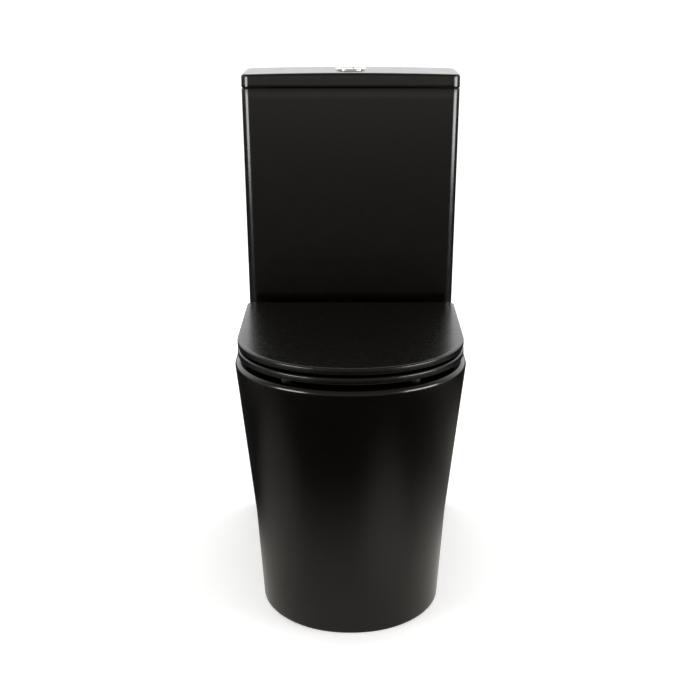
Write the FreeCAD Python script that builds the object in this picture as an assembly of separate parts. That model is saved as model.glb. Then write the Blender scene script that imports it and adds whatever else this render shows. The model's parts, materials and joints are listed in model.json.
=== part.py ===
import FreeCAD, Part
import math
import os

# Close coupled toilet: a back-to-wall pan with a rimless bowl, a cistern that stands on its rear shelf,
# a slim seat and lid on hinge pins, a dual flush button, a drop valve and a bottom inlet fill valve.
# Millimetres. X to the right, -Y to the front, +Z up. The origin is on the floor, under the middle of the
# overall box, and the back plane at BACK_Y stands against the wall.

V = FreeCAD.Vector
UP = V(0, 0, 1)
ACROSS = V(1, 0, 0)
REARWARD = V(0, 1, 0)

# ---- driving dimensions -------------------------------------------------------------------------------
LENGTH = 605.0
BACK_Y = LENGTH / 2
FRONT_Y = -LENGTH / 2

# pan body
SHELF_Z = 405.0
WALL = 12.0
RIM_EDGE_R = 10.0
REAR_HALF = 178.0
FLOOR_HALF = 141.8
FLOOR_FRONT_Y = -264.0
FLOOR_WIDEST_Y = -110.0
RIM_WIDEST_Y = -106.0
FLOOR_ROUNDNESS = 2.12
RIM_ROUNDNESS = 2.06
FOOT_TAPER = 0.046
FLANK_TAPER = 0.0727
TAPER_START_Z = 84.0
TAPER_BLEND = 12.0
RIM_DEPTH = 35.0
SHELF_THICK = 18.0
SHELF_START_Y = 95.0

# trap and outlet
TRAP_R = 33.0
TRAP_WALL = 10.0
TRAP_BEND_R = 60.0
OUTLET_Z = 180.0
OUTLET_R = 51.0
OUTLET_BORE_R = 44.0
OUTLET_START_Y = 222.0
OUTLET_END_Y = 292.0

# cistern
TANK_FRONT_Y = 152.0
TANK_FOOT_Y = 156.0
TANK_BOTTOM_Z = 409.0
TANK_TOP_Z = 803.0
TANK_BOTTOM_HALF = 177.4
TANK_TOP_HALF = 185.4
TANK_WALL = 10.0
TANK_FLOOR = 12.0
TANK_CORNER_R = 15.0
BACK_GRIND = 0.05
LID_HALF = 185.6
LID_TOP_Z = 828.0
LID_CROWN = 2.8
VALVE_Y = 226.0

# seat and its hinge
SEAT_HALF = 178.5
SEAT_FRONT_Y = FRONT_Y
SEAT_WIDEST_Y = -106.0
RING_Z = (413.3, 423.9)
COVER_Z = (428.4, 438.5)
COVER_BACK_Y = 124.0
HINGE_Y = 113.5
HINGE_Z = 419.5
HINGE_X = 77.5
KNUCKLE_R = 8.0
HINGE_PIN_R = 4.0
RUNNING_GAP = 0.05

# flush button, drop valve and its levers
BUTTON_R = 27.0
BUTTON_WELL_R = 22.0
BUTTON_PROUD = 3.0
BUTTON_TRAVEL = 6.0
ROD_X = 12.0
LEVER_PIVOT_X = 25.0
LEVER_Z = 723.5
TANK_INSIDE_Z = TANK_BOTTOM_Z + TANK_FLOOR
SEAT_LIP_Z = 434.0

# fill valve
FILL_X = 130.0
FILL_TAIL_R = 10.4
INLET_THREAD_Z = (352.0, 396.0)

# fixings
COUPLING_X = 80.0
FLOOR_FIX_Y = 190.0
FLOOR_FIX_Z = 28.0


# ---- helpers ------------------------------------------------------------------------------------------
def block(x, y, z):
    """A box between two ends on each axis."""
    return Part.makeBox(x[1] - x[0], y[1] - y[0], z[1] - z[0], V(x[0], y[0], z[0]))


def rod(start, end, radius):
    """A round bar from one point to another."""
    along = end - start
    return Part.makeCylinder(radius, along.Length, start, along)


def post(x, y, z, radius):
    """An upright round bar between two heights."""
    return rod(V(x, y, z[0]), V(x, y, z[1]), radius)


def tube(x, y, z, outer, inner):
    """An upright tube between two heights."""
    return post(x, y, z, outer).cut(post(x, y, (z[0] - 1, z[1] + 1), inner))


def turned(profile, x, y):
    """A turned piece: a closed outline of (radius, height) points spun about an upright axis."""
    points = [V(x + radius, y, height) for radius, height in profile]
    face = Part.Face(Part.makePolygon(points + points[:1]))
    return face.revolve(V(x, y, 0), UP, 360)


def join(first, *others):
    """One solid out of several that touch."""
    return first.fuse(list(others)).removeSplitter()


def pair(shape):
    """The shape and its mirror image on the other side, as two separate solids."""
    return Part.makeCompound([shape, shape.mirror(V(0, 0, 0), ACROSS)])


def at_places(shape, places):
    """Copies of one fitting at several (x, y) places, as separate solids."""
    copies = []
    for x, y in places:
        copy = shape.copy()
        copy.translate(V(x, y, 0))
        copies.append(copy)
    return Part.makeCompound(copies)


def rounded(shape, radius, chosen):
    """Rounds the edges that the test picks by their bounding box."""
    edges = [edge for edge in shape.Edges if chosen(edge.BoundBox)]
    return shape.makeFillet(radius, edges)


def save(name, shape):
    shape.exportStep(os.path.join("parts", name + ".step"))


# ---- outlines -----------------------------------------------------------------------------------------
def front_curve(half, flare, widest_y, front_y, roundness, z, count=13):
    """The bow of a pan or seat in plan, from one side, round the front, to the other.

    It is a superellipse whose half width also grows with y by the flare, so that it meets the sides smoothly.
    """
    points = []
    for step in range(count):
        turn = math.pi * step / (count - 1)
        across = math.copysign(abs(math.cos(turn)) ** (2 / roundness), math.cos(turn))
        ahead = (front_y - widest_y) * math.sin(turn) ** (2 / roundness)
        points.append(V((half + flare * ahead) * across, widest_y + ahead, z))
    curve = Part.BSplineCurve()
    curve.interpolate(Points=points, InitialTangent=V(-flare, -1, 0), FinalTangent=V(-flare, 1, 0))
    return curve.toShape()


def bow_outline(half, back_half, widest_y, front_y, back_y, roundness, z):
    """A closed plan outline: the bow in front, a straight side each way, and a straight back."""
    right = V(half, widest_y, z)
    left = V(-half, widest_y, z)
    back_right = V(back_half, back_y, z)
    back_left = V(-back_half, back_y, z)
    flare = (back_half - half) / (back_y - widest_y)
    return Part.Wire([
        front_curve(half, flare, widest_y, front_y, roundness, z),
        Part.makeLine(left, back_left),
        Part.makeLine(back_left, back_right),
        Part.makeLine(back_right, right),
    ])


def pan_half_width(z):
    """Half the pan's width at its widest: a slow taper at the foot that blends into a steeper flank."""
    flank = TAPER_BLEND * math.log1p(math.exp((z - TAPER_START_Z) / TAPER_BLEND))
    return FLOOR_HALF + FOOT_TAPER * z + FLANK_TAPER * flank


def pan_section(z, inset=0.0, back_y=BACK_Y):
    """The pan's plan outline at a height, drawn in by an inset at the sides and the front."""
    low = pan_half_width(0.0)
    high = pan_half_width(SHELF_Z)
    half = pan_half_width(z)
    rise = (half - low) / (high - low)
    widest_y = FLOOR_WIDEST_Y + (RIM_WIDEST_Y - FLOOR_WIDEST_Y) * rise
    front_y = FLOOR_FRONT_Y + (FRONT_Y - FLOOR_FRONT_Y) * rise
    roundness = FLOOR_ROUNDNESS + (RIM_ROUNDNESS - FLOOR_ROUNDNESS) * rise
    back_half = half + (REAR_HALF - half) * (back_y - widest_y) / (BACK_Y - widest_y)
    return bow_outline(half - inset, back_half - inset, widest_y, front_y + inset, back_y, roundness, z)


def oval(front_y, back_y, widest_y, half, z, count=24):
    """A smooth closed oval that is widest at one place and may be longer in front of it than behind."""
    points = []
    for step in range(count):
        turn = 2 * math.pi * step / count
        reach = back_y - widest_y if math.sin(turn) > 0 else widest_y - front_y
        points.append(V(half * math.cos(turn), widest_y + reach * math.sin(turn), z))
    curve = Part.BSplineCurve()
    curve.interpolate(Points=points, PeriodicFlag=True)
    return Part.Wire([curve.toShape()])


def rounded_rectangle(half, front_y, back_y, corner, z):
    """A plan rectangle with round corners."""
    near = front_y + corner
    far = back_y - corner
    inner = half - corner
    bulge = corner * math.sqrt(0.5)

    def corner_arc(x, y, start, middle, end):
        centre = V(x, y, z)
        return Part.Arc(centre + start, centre + middle, centre + end).toShape()

    edges = [
        Part.makeLine(V(-inner, front_y, z), V(inner, front_y, z)),
        corner_arc(inner, near, V(0, -corner, 0), V(bulge, -bulge, 0), V(corner, 0, 0)),
        Part.makeLine(V(half, near, z), V(half, far, z)),
        corner_arc(inner, far, V(corner, 0, 0), V(bulge, bulge, 0), V(0, corner, 0)),
        Part.makeLine(V(inner, back_y, z), V(-inner, back_y, z)),
        corner_arc(-inner, far, V(0, corner, 0), V(-bulge, bulge, 0), V(-corner, 0, 0)),
        Part.makeLine(V(-half, far, z), V(-half, near, z)),
        corner_arc(-inner, near, V(-corner, 0, 0), V(-bulge, -bulge, 0), V(0, -corner, 0)),
    ]
    return Part.Wire(edges)


def bent_pipe(points, bend, radius):
    """A round bar along straight runs in the middle plane, joined by tangent arcs of one bend radius."""
    edges = []
    start = points[0]
    for before, corner, after in zip(points, points[1:], points[2:]):
        inward = (before - corner).normalize()
        outward = (after - corner).normalize()
        half_turn = inward.getAngle(outward) / 2
        setback = bend / math.tan(half_turn)
        arc_start = corner + inward * setback
        arc_end = corner + outward * setback
        to_centre = (inward + outward).normalize()
        centre = corner + to_centre * (bend / math.sin(half_turn))
        edges.append(Part.makeLine(start, arc_start))
        edges.append(Part.Arc(arc_start, centre - to_centre * bend, arc_end).toShape())
        start = arc_end
    edges.append(Part.makeLine(start, points[-1]))
    disc = Part.Face(Part.Wire(Part.makeCircle(radius, points[0], points[1] - points[0])))
    return Part.Wire(edges).makePipe(disc)


# ---- pan ----------------------------------------------------------------------------------------------
# height, front, back and half width of the bowl's inside, from the opening down to the sump
BOWL_SECTIONS = (
    (SHELF_Z + 2, -263.0, 68.0, 142.0),
    (384.0, -263.0, 68.0, 142.0),
    (364.0, -268.0, 70.0, 147.0),
    (344.0, -260.0, 66.0, 139.0),
    (300.0, -233.0, 58.0, 122.0),
    (240.0, -174.0, 50.0, 97.0),
    (180.0, -114.0, 43.0, 71.0),
    (130.0, -77.0, 38.0, 52.0),
    (90.0, -58.0, 34.0, 41.0),
    (52.0, -34.0, 12.0, 24.0),
)
BOWL_WALL = 11.0
DUCT_HALF = 40.0
DUCT_Z = (346.0, 373.0)


def bowl_loft(offset, sections):
    """The bowl's form grown by an offset, through ovals whose widest line moves back as the bowl narrows."""
    wires = []
    for z, front_y, back_y, half in sections:
        widest_y = front_y + 0.58 * (back_y - front_y)
        height = z - offset if z < 60.0 else z
        wires.append(oval(front_y - offset, back_y + offset, widest_y, half + offset, height))
    return Part.makeLoft(wires, True, False)


def trap_path():
    """The trap's centre line: along the sump, up over the weir, and down to the outlet."""
    return [V(0, -20, 90), V(0, 50, 90), V(0, 128, 205), V(0, 215, OUTLET_Z + 6), V(0, 240, OUTLET_Z + 4)]


def waterways():
    """Everything that water passes through: bowl, trap, outlet, flush duct and the recess round its mouth."""
    return [
        bowl_loft(0.0, BOWL_SECTIONS),
        bent_pipe(trap_path(), TRAP_BEND_R, TRAP_R),
        rod(V(0, OUTLET_START_Y + 8, OUTLET_Z), V(0, OUTLET_END_Y + 1, OUTLET_Z), OUTLET_BORE_R),
        block((-DUCT_HALF, DUCT_HALF), (40, 266), DUCT_Z),
        post(0, VALVE_Y, (391.0, SHELF_Z + 1), 58.0),
        post(0, VALVE_Y, (DUCT_Z[0] + 4, 392.0), 36.0),
    ]


def bowl_blank():
    """The bowl's outer form, up to the underside of the rim."""
    under_rim = block((-200, 200), (-400, 200), (0, SHELF_Z - RIM_DEPTH))
    return bowl_loft(BOWL_WALL, BOWL_SECTIONS[1:]).common(under_rim)


def make_pan():
    """The shrouded outside of the pan with its rim, shelf and flush duct.

    The bowl and trapway are fired onto it.
    """
    heights = (0.0, 45.0, 90.0, 140.0, 220.0, 300.0, 360.0, SHELF_Z - RIM_EDGE_R)
    flank = Part.makeLoft([pan_section(z) for z in heights], True, False)
    turns = [math.radians(15 * step) for step in range(7)]
    rim_edge = [pan_section(SHELF_Z - RIM_EDGE_R * (1 - math.sin(turn)), RIM_EDGE_R * (1 - math.cos(turn)))
                for turn in turns]
    body = flank.fuse(Part.makeLoft(rim_edge, True, True))

    past_back = BACK_Y + 20.0
    hollow_heights = (-5.0, 45.0, 90.0, 140.0, 220.0, 300.0, 360.0, SHELF_Z)
    hollow = Part.makeLoft([pan_section(z, WALL, past_back) for z in hollow_heights], True, False)
    rim_bottom = SHELF_Z - RIM_DEPTH
    under_rim = block((-400, 400), (-400, SHELF_START_Y), (rim_bottom, 500))
    under_shelf = block((-400, 400), (SHELF_START_Y - 1, 400), (SHELF_Z - SHELF_THICK, 500))
    body = body.cut(hollow.cut(under_rim).cut(under_shelf))

    duct_z = (DUCT_Z[0] - 12, SHELF_Z - SHELF_THICK + 4)
    duct_outside = block((-DUCT_HALF - 12, DUCT_HALF + 12), (50, 278), duct_z)
    body = body.fuse(duct_outside).cut(bowl_blank()).cut(waterways())

    drills = [post(FILL_X, VALVE_Y, (360.0, SHELF_Z + 1), 24.0)]
    for side in (-1, 1):
        drills.append(post(side * COUPLING_X, VALVE_Y, (360.0, SHELF_Z + 1), 6.0))
        drills.append(post(side * HINGE_X, HINGE_Y, (360.0, SHELF_Z + 1), 7.0))
        outer = side * (SIDE_FACE_X + 20)
        drills.append(rod(V(side * 140, FLOOR_FIX_Y, FLOOR_FIX_Z), V(outer, FLOOR_FIX_Y, FLOOR_FIX_Z), 5.0))
        drills.append(rod(V(side * (SIDE_FACE_X - 4), FLOOR_FIX_Y, FLOOR_FIX_Z),
                          V(outer, FLOOR_FIX_Y, FLOOR_FIX_Z), 10.0))
    return body.cut(drills)


def make_bowl():
    """The bowl below the rim, with its mouths for the flush duct and the trap."""
    return bowl_blank().cut(waterways())


def make_trapway():
    """The trap from the bowl over the weir, and the outlet spigot."""
    pipe = bent_pipe(trap_path(), TRAP_BEND_R, TRAP_R + TRAP_WALL)
    spigot = rod(V(0, OUTLET_START_Y, OUTLET_Z), V(0, OUTLET_END_Y, OUTLET_Z), OUTLET_R)
    return pipe.fuse(spigot).cut(bowl_blank()).cut(waterways())


def side_face_x(y, z):
    """How far out the pan's flank is at a place behind its widest line."""
    half = pan_half_width(z)
    return half + (REAR_HALF - half) * (y - FLOOR_WIDEST_Y) / (BACK_Y - FLOOR_WIDEST_Y)


SIDE_FACE_X = side_face_x(FLOOR_FIX_Y, FLOOR_FIX_Z)


# ---- cistern ------------------------------------------------------------------------------------------
def make_cistern_tank():
    ground_back = BACK_Y + BACK_GRIND
    outside = Part.makeLoft([
        rounded_rectangle(TANK_BOTTOM_HALF, TANK_FOOT_Y, ground_back, TANK_CORNER_R, TANK_BOTTOM_Z),
        rounded_rectangle(TANK_TOP_HALF, TANK_FRONT_Y, ground_back, TANK_CORNER_R, TANK_TOP_Z),
    ], True, True)
    outside = rounded(outside, 5.0, lambda box: box.ZMax < TANK_BOTTOM_Z + 1)
    outside = rounded(outside, 2.5, lambda box: box.ZMin > TANK_TOP_Z - 1)
    whole_height = (TANK_BOTTOM_Z - 1, TANK_TOP_Z + 1)
    outside = outside.common(block((-200, 200), (TANK_FRONT_Y - 5, BACK_Y), whole_height))
    inner_corner = TANK_CORNER_R - TANK_WALL + 3
    inside = Part.makeLoft([
        rounded_rectangle(TANK_BOTTOM_HALF - TANK_WALL, TANK_FOOT_Y + TANK_WALL, BACK_Y - TANK_WALL,
                          inner_corner, TANK_INSIDE_Z),
        rounded_rectangle(TANK_TOP_HALF - TANK_WALL, TANK_FRONT_Y + TANK_WALL, BACK_Y - TANK_WALL,
                          inner_corner, TANK_TOP_Z + 1),
    ], True, True)
    floor_z = (TANK_BOTTOM_Z - 1, TANK_INSIDE_Z + 1)
    holes = [post(0, VALVE_Y, floor_z, 33.0), post(FILL_X, VALVE_Y, floor_z, 11.5)]
    holes += [post(side * COUPLING_X, VALVE_Y, floor_z, 5.0) for side in (-1, 1)]
    return outside.cut(inside).cut(holes)


def make_cistern_lid():
    outline = rounded_rectangle(LID_HALF, TANK_FRONT_Y, BACK_Y, TANK_CORNER_R, TANK_TOP_Z)
    slab = Part.Face(outline).extrude(UP * 40)
    crown_r = LID_HALF ** 2 / (2 * LID_CROWN)
    dome = rod(V(0, 100, LID_TOP_Z - crown_r), V(0, 350, LID_TOP_Z - crown_r), crown_r)
    slab = slab.common(dome)
    slab = rounded(slab, 3.5, lambda box: box.ZMin > TANK_TOP_Z + 15)
    slab = rounded(slab, 1.8, lambda box: box.ZMax < TANK_TOP_Z + 1)
    pocket = Part.Face(rounded_rectangle(LID_HALF - 22, TANK_FRONT_Y + 22, BACK_Y - 22, 8.0, TANK_TOP_Z - 20))
    pocket = pocket.extrude(UP * 32)
    lip = Part.Face(rounded_rectangle(LID_HALF - 15, TANK_FRONT_Y + 15, BACK_Y - 15, 8.0, TANK_TOP_Z - 9))
    lip = lip.extrude(UP * 12)
    return join(slab, lip).cut(pocket).cut(post(0, VALVE_Y, (790.0, 850.0), 24.5))


def make_tank_pads():
    pad = post(0, 0, (SHELF_Z, TANK_BOTTOM_Z), 9.0)
    return at_places(pad, [(x, y) for x in (-155, 155) for y in (182, 280)])


def make_outlet_gasket():
    return tube(0, VALVE_Y, (TANK_INSIDE_Z, TANK_INSIDE_Z + 3), 45.0, 32.0)


def make_flush_valve_nut():
    nut = tube(0, VALVE_Y, (397.0, TANK_BOTTOM_Z), 42.0, 31.5 + RUNNING_GAP)
    grips = [nut]
    for step in range(8):
        grip = block((40, 45), (VALVE_Y - 3, VALVE_Y + 3), (397.0, TANK_BOTTOM_Z))
        grip.rotate(V(0, VALVE_Y, 0), UP, 45 * step)
        grips.append(grip)
    return join(*grips)


def make_coupling_gasket():
    """The soft ring between cistern and pan: it wraps the nut and seals on the recess in the shelf."""
    return turned([(33, 391), (57, 391), (57, 409), (46.5, 409), (46.5, 396.5), (33, 396.5)], 0, VALVE_Y)


def make_coupling_bolts():
    head = post(0, 0, (427.0, 431.0), 9.0)
    slot = block((-10, 10), (-1, 1), (429.5, 432.0))
    return at_places(join(head, post(0, 0, (352.0, 428.0), 4.0)).cut(slot), COUPLING_PLACES)


def make_coupling_seals():
    profile = [(4, TANK_INSIDE_Z), (13, TANK_INSIDE_Z), (10, 427), (4, 427)]
    return at_places(turned(profile, 0, 0), COUPLING_PLACES)


def make_coupling_washers():
    return at_places(tube(0, 0, (385.0, SHELF_Z - SHELF_THICK), 10.0, 4.1), COUPLING_PLACES)


def make_wing_nuts():
    hub = tube(0, 0, (375.0, 385.0), 7.5, 4.0)
    wings = [hub]
    for side in (-1, 1):
        wing = block((5.5, 19.0), (-1.6, 1.6), (369.0, 383.0))
        wing = rounded(wing, 5.0, lambda box: box.XMin > 18 and box.XMax < 20 and box.YLength > 3)
        wings.append(wing if side > 0 else wing.mirror(V(0, 0, 0), ACROSS))
    return at_places(join(*wings), COUPLING_PLACES)


COUPLING_PLACES = [(-COUPLING_X, VALVE_Y), (COUPLING_X, VALVE_Y)]


# ---- drop valve ---------------------------------------------------------------------------------------
CAGE_R = 44.0
CAGE_TOP_Z = 505.0
EAR_Z = (700.0, 732.0)
TUBE_TOP_Z = 688.0
LEVER_HALF_Y = 6.0
LEVER_THICK = 5.0
LEVER_PIN_R = 1.5
HOOK_GAP = 1.5


def make_flush_valve_base():
    flange = tube(0, VALVE_Y, (424.0, 430.0), CAGE_R, 27.0)
    lip = tube(0, VALVE_Y, (429.0, SEAT_LIP_Z), 31.0, 27.0)
    tail = tube(0, VALVE_Y, (378.0, 425.0), 31.5, 27.0)
    return join(flange, lip, tail)


def make_flush_valve_cage():
    basket = tube(0, VALVE_Y, (430.0, CAGE_TOP_Z), CAGE_R, CAGE_R - 3)
    for step in range(4):
        window = block((10, 60), (VALVE_Y - 16, VALVE_Y + 16), (442.0, 495.0))
        window.rotate(V(0, VALVE_Y, 0), UP, 45 + 90 * step)
        basket = basket.cut(window)
    deck = tube(0, VALVE_Y, (CAGE_TOP_Z - 4, CAGE_TOP_Z), CAGE_R, 15.5)
    pieces = [basket, deck]
    for side in (-1, 1):
        y = (VALVE_Y + 9, VALVE_Y + 12) if side > 0 else (VALVE_Y - 12, VALVE_Y - 9)
        pieces.append(block((-32, 32), y, EAR_Z))
        pieces += [block((x - 4, x + 4), y, (CAGE_TOP_Z - 2, EAR_Z[0] + 1)) for x in (-22, 22)]
    # an arm between the right-hand posts steers the half flush float's stem
    arm = block((18, 54), (VALVE_Y - 12, VALVE_Y + 12), (640.0, 644.0))
    pieces.append(arm.cut(post(FLOAT_STEM_X, VALVE_Y, (630.0, 650.0), 3.1)))
    pins = [rod(V(x, VALVE_Y - 20, LEVER_Z), V(x, VALVE_Y + 20, LEVER_Z), LEVER_PIN_R)
            for x in (-LEVER_PIVOT_X, LEVER_PIVOT_X)]
    return join(*pieces).cut(pins)


FLOAT_STEM_X = 46.0


def make_lever_pins():
    return Part.makeCompound([
        rod(V(x, VALVE_Y - 13, LEVER_Z), V(x, VALVE_Y + 13, LEVER_Z), LEVER_PIN_R)
        for x in (-LEVER_PIVOT_X, LEVER_PIVOT_X)
    ])


def make_flush_lever(side):
    """A rocker whose inner end is pressed by the button's rod and whose outer end lifts a hook."""
    y = (VALVE_Y - LEVER_HALF_Y, VALVE_Y + LEVER_HALF_Y)
    z = (LEVER_Z - LEVER_THICK / 2, LEVER_Z + LEVER_THICK / 2)
    ends = sorted((side * 9.0, side * 42.0))
    pivot = side * LEVER_PIVOT_X
    bar = block(ends, y, z)
    boss = rod(V(pivot, y[0], LEVER_Z), V(pivot, y[1], LEVER_Z), 5.0)
    bore = rod(V(pivot, y[0] - 1, LEVER_Z), V(pivot, y[1] + 1, LEVER_Z), LEVER_PIN_R + RUNNING_GAP)
    return join(bar, boss).cut(bore)


def lift_hook(side, stem_bottom):
    """A hook over the outer end of a flush lever, on an upright stem."""
    y = (VALVE_Y - 4, VALVE_Y + 4)
    lip_z = LEVER_Z + LEVER_THICK / 2 + HOOK_GAP
    lip = block(sorted((side * 38.0, side * 49.0)), y, (lip_z, lip_z + 3.5))
    stem = block(sorted((side * 44.0, side * 49.0)), y, (stem_bottom, lip_z + 1))
    return join(lip, stem)


def make_overflow_tube():
    """The lifting tube: it carries the seal below, overflows at its open top, and hangs on a hook."""
    barrel = tube(0, VALVE_Y, (437.0, TUBE_TOP_Z), 14.0, 12.0)
    foot = tube(0, VALVE_Y, (437.0, 441.0), 36.0, 12.0)
    arm = block((-49, -13), (VALVE_Y - 4, VALVE_Y + 4), (676.0, 682.0))
    arm = arm.cut(post(0, VALVE_Y, (670.0, 690.0), 13.5))
    return join(barrel, foot, arm, lift_hook(-1, 676.0))


def make_flush_seal():
    return tube(0, VALVE_Y, (SEAT_LIP_Z, 437.0), 37.0, 24.0)


def make_half_flush_float():
    """The float that shuts the valve early on a half flush, with its stem and hook."""
    stem = post(FLOAT_STEM_X, VALVE_Y, (560.0, 715.0), 2.6)
    cup = post(FLOAT_STEM_X + 4, VALVE_Y, (540.0, 600.0), 16.0)
    cup = cup.cut(post(FLOAT_STEM_X + 4, VALVE_Y, (530.0, 594.0), 14.0))
    return join(cup, stem, lift_hook(1, 712.0))


# ---- buttons ------------------------------------------------------------------------------------------
WELL_FLOOR_Z = (786.0, 789.0)
CAP_TOP_Z = LID_TOP_Z + BUTTON_PROUD - 0.4
SPLIT_X = 4.5
SPLIT_GAP = 0.8


def make_button_bezel():
    top = LID_TOP_Z + BUTTON_PROUD
    outer = [(BUTTON_R, LID_TOP_Z), (BUTTON_R, top - 1.4), (BUTTON_R - 0.5, top - 0.4), (BUTTON_R - 1.5, top)]
    inner = [(BUTTON_WELL_R + 0.6, top), (BUTTON_WELL_R, top - 0.6), (BUTTON_WELL_R, LID_TOP_Z)]
    return turned(outer + inner, 0, VALVE_Y)


def make_button_housing():
    sleeve = tube(0, VALVE_Y, (WELL_FLOOR_Z[0], LID_TOP_Z), 24.0, BUTTON_WELL_R)
    floor = post(0, VALVE_Y, WELL_FLOOR_Z, BUTTON_WELL_R + 1)
    holes = [post(x, VALVE_Y, (780.0, 795.0), 4.6) for x in (-ROD_X, ROD_X)]
    return join(sleeve, floor).cut(holes)


def make_button_nut():
    nut = tube(0, VALVE_Y, (806.0, 815.0), 30.0, 24.0 + RUNNING_GAP)
    grips = [nut]
    for step in range(10):
        grip = block((28.5, 33), (VALVE_Y - 2.5, VALVE_Y + 2.5), (806.0, 815.0))
        grip.rotate(V(0, VALVE_Y, 0), UP, 36 * step)
        grips.append(grip)
    return join(*grips)


def make_flush_button(side):
    """A hollow half-round cap with a socket for its rod. The right-hand half is the smaller one."""
    near = SPLIT_X + side * SPLIT_GAP / 2
    reach = sorted((near, side * 40.0))
    skirt_z = (815.0, CAP_TOP_Z)
    cap = post(0, VALVE_Y, skirt_z, BUTTON_WELL_R - 0.5).common(block(reach, (100, 400), skirt_z))
    cap = rounded(cap, 0.8, lambda box: box.ZMin > CAP_TOP_Z - 0.5)
    hollow_z = (skirt_z[0] - 1, CAP_TOP_Z - 2.5)
    hollow = post(0, VALVE_Y, hollow_z, BUTTON_WELL_R - 2.2)
    hollow = hollow.common(block(sorted((near + side * 1.7, side * 40.0)), (100, 400), hollow_z))
    socket = post(side * ROD_X, VALVE_Y, (817.0, CAP_TOP_Z - 2), 5.0)
    bore = post(side * ROD_X, VALVE_Y, (810.0, CAP_TOP_Z - 3.5), 3.0)
    return join(cap.cut(hollow), socket).cut(bore)


def make_flush_rod(side):
    x = side * ROD_X
    tip_z = LEVER_Z + LEVER_THICK / 2 + 1.0
    shank = post(x, VALVE_Y, (tip_z + 9, CAP_TOP_Z - 3.5), 3.0)
    tip = post(x, VALVE_Y, (tip_z, tip_z + 10), 2.0)
    return join(shank, tip)


def make_button_spring(side):
    """A compression spring round the rod, between the well's floor and the cap's socket."""
    wire_r = 0.5
    coil_r = 4.2
    low = WELL_FLOOR_Z[1] + wire_r
    high = 817.0 - wire_r
    coil = Part.makeHelix((high - low) / 6, high - low, coil_r)
    section = Part.Wire(Part.makeCircle(wire_r, V(coil_r, 0, 0), REARWARD))
    spring = Part.Wire(coil).makePipeShell([section], True, True)
    spring.translate(V(side * ROD_X, VALVE_Y, low))
    return spring


# ---- fill valve ---------------------------------------------------------------------------------------
FILL_HEAD_Z = (640.0, 664.0)
FLOAT_Z = (520.0, 590.0)
NUT_Z = (398.0, TANK_BOTTOM_Z)
LINK_X = FILL_X - 22.0
FILL_PIVOT = V(FILL_X + 6.0, VALVE_Y, 672.0)


def make_fill_valve_body():
    inlet = post(FILL_X, VALVE_Y, INLET_THREAD_Z, FILL_TAIL_R)
    relief = post(FILL_X, VALVE_Y, (INLET_THREAD_Z[1] - 1, NUT_Z[0] + 1), FILL_TAIL_R - 1.0)
    shank = post(FILL_X, VALVE_Y, (NUT_Z[0], 425.0), FILL_TAIL_R)
    flange = post(FILL_X, VALVE_Y, (424.0, 429.0), 21.0)
    shaft = post(FILL_X, VALVE_Y, (428.0, FILL_HEAD_Z[0]), 11.5)
    bore = post(FILL_X, VALVE_Y, (350.0, 600.0), 6.0)
    return join(inlet, relief, shank, flange, shaft).cut(bore)


def make_fill_valve_head():
    head = post(FILL_X, VALVE_Y, FILL_HEAD_Z, 19.0)
    head = rounded(head, 3.0, lambda box: box.ZMin > FILL_HEAD_Z[1] - 1)
    ears = [block((FILL_PIVOT.x - 5, FILL_PIVOT.x + 5), y, (FILL_HEAD_Z[1] - 2, FILL_PIVOT.z + 4))
            for y in ((VALVE_Y - 9, VALVE_Y - 6), (VALVE_Y + 6, VALVE_Y + 9))]
    bore = rod(FILL_PIVOT - REARWARD * 12, FILL_PIVOT + REARWARD * 12, LEVER_PIN_R)
    return join(head, *ears).cut(bore)


def make_fill_lever_pin():
    return rod(FILL_PIVOT - REARWARD * 10, FILL_PIVOT + REARWARD * 10, LEVER_PIN_R)


def make_fill_valve_lever():
    """The float's arm: forked at its free end so that it clears the link, with one round boss."""
    y = (VALVE_Y - 5.5, VALVE_Y + 5.5)
    z = (FILL_PIVOT.z - 2, FILL_PIVOT.z + 2)
    bar = block((LINK_X - 5, FILL_PIVOT.x), y, z)
    boss = rod(V(FILL_PIVOT.x, y[0], FILL_PIVOT.z), V(FILL_PIVOT.x, y[1], FILL_PIVOT.z), 4.0)
    fork = block((LINK_X - 6, LINK_X + 8), (VALVE_Y - 3, VALVE_Y + 3), (z[0] - 1, z[1] + 1))
    bore = rod(V(FILL_PIVOT.x, y[0] - 1, FILL_PIVOT.z), V(FILL_PIVOT.x, y[1] + 1, FILL_PIVOT.z),
               LEVER_PIN_R + RUNNING_GAP)
    return join(bar, boss).cut([fork, bore])


def make_fill_valve_float():
    cup = tube(FILL_X, VALVE_Y, FLOAT_Z, 28.0, 12.2)
    air_z = (FLOAT_Z[0] - 1, FLOAT_Z[1] - 3)
    return cup.cut(tube(FILL_X, VALVE_Y, air_z, 26.0, 14.2))


def make_float_link():
    """The adjusting screw between the float and its lever, with a collar above the fork."""
    stem = post(LINK_X, VALVE_Y, (FLOAT_Z[1], 684.0), 2.0)
    collar = post(LINK_X, VALVE_Y, (679.0, 682.0), 4.5)
    return join(stem, collar)


def make_inlet_gasket():
    return tube(FILL_X, VALVE_Y, (TANK_INSIDE_Z, 424.0), 21.0, FILL_TAIL_R)


def make_inlet_backnut():
    nut = tube(FILL_X, VALVE_Y, NUT_Z, 15.0, FILL_TAIL_R)
    grips = [nut]
    for step in range(6):
        grip = block((FILL_X + 13.5, FILL_X + 18.0), (VALVE_Y - 2, VALVE_Y + 2), NUT_Z)
        grip.rotate(V(FILL_X, VALVE_Y, 0), UP, 60 * step)
        grips.append(grip)
    return join(*grips)


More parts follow.
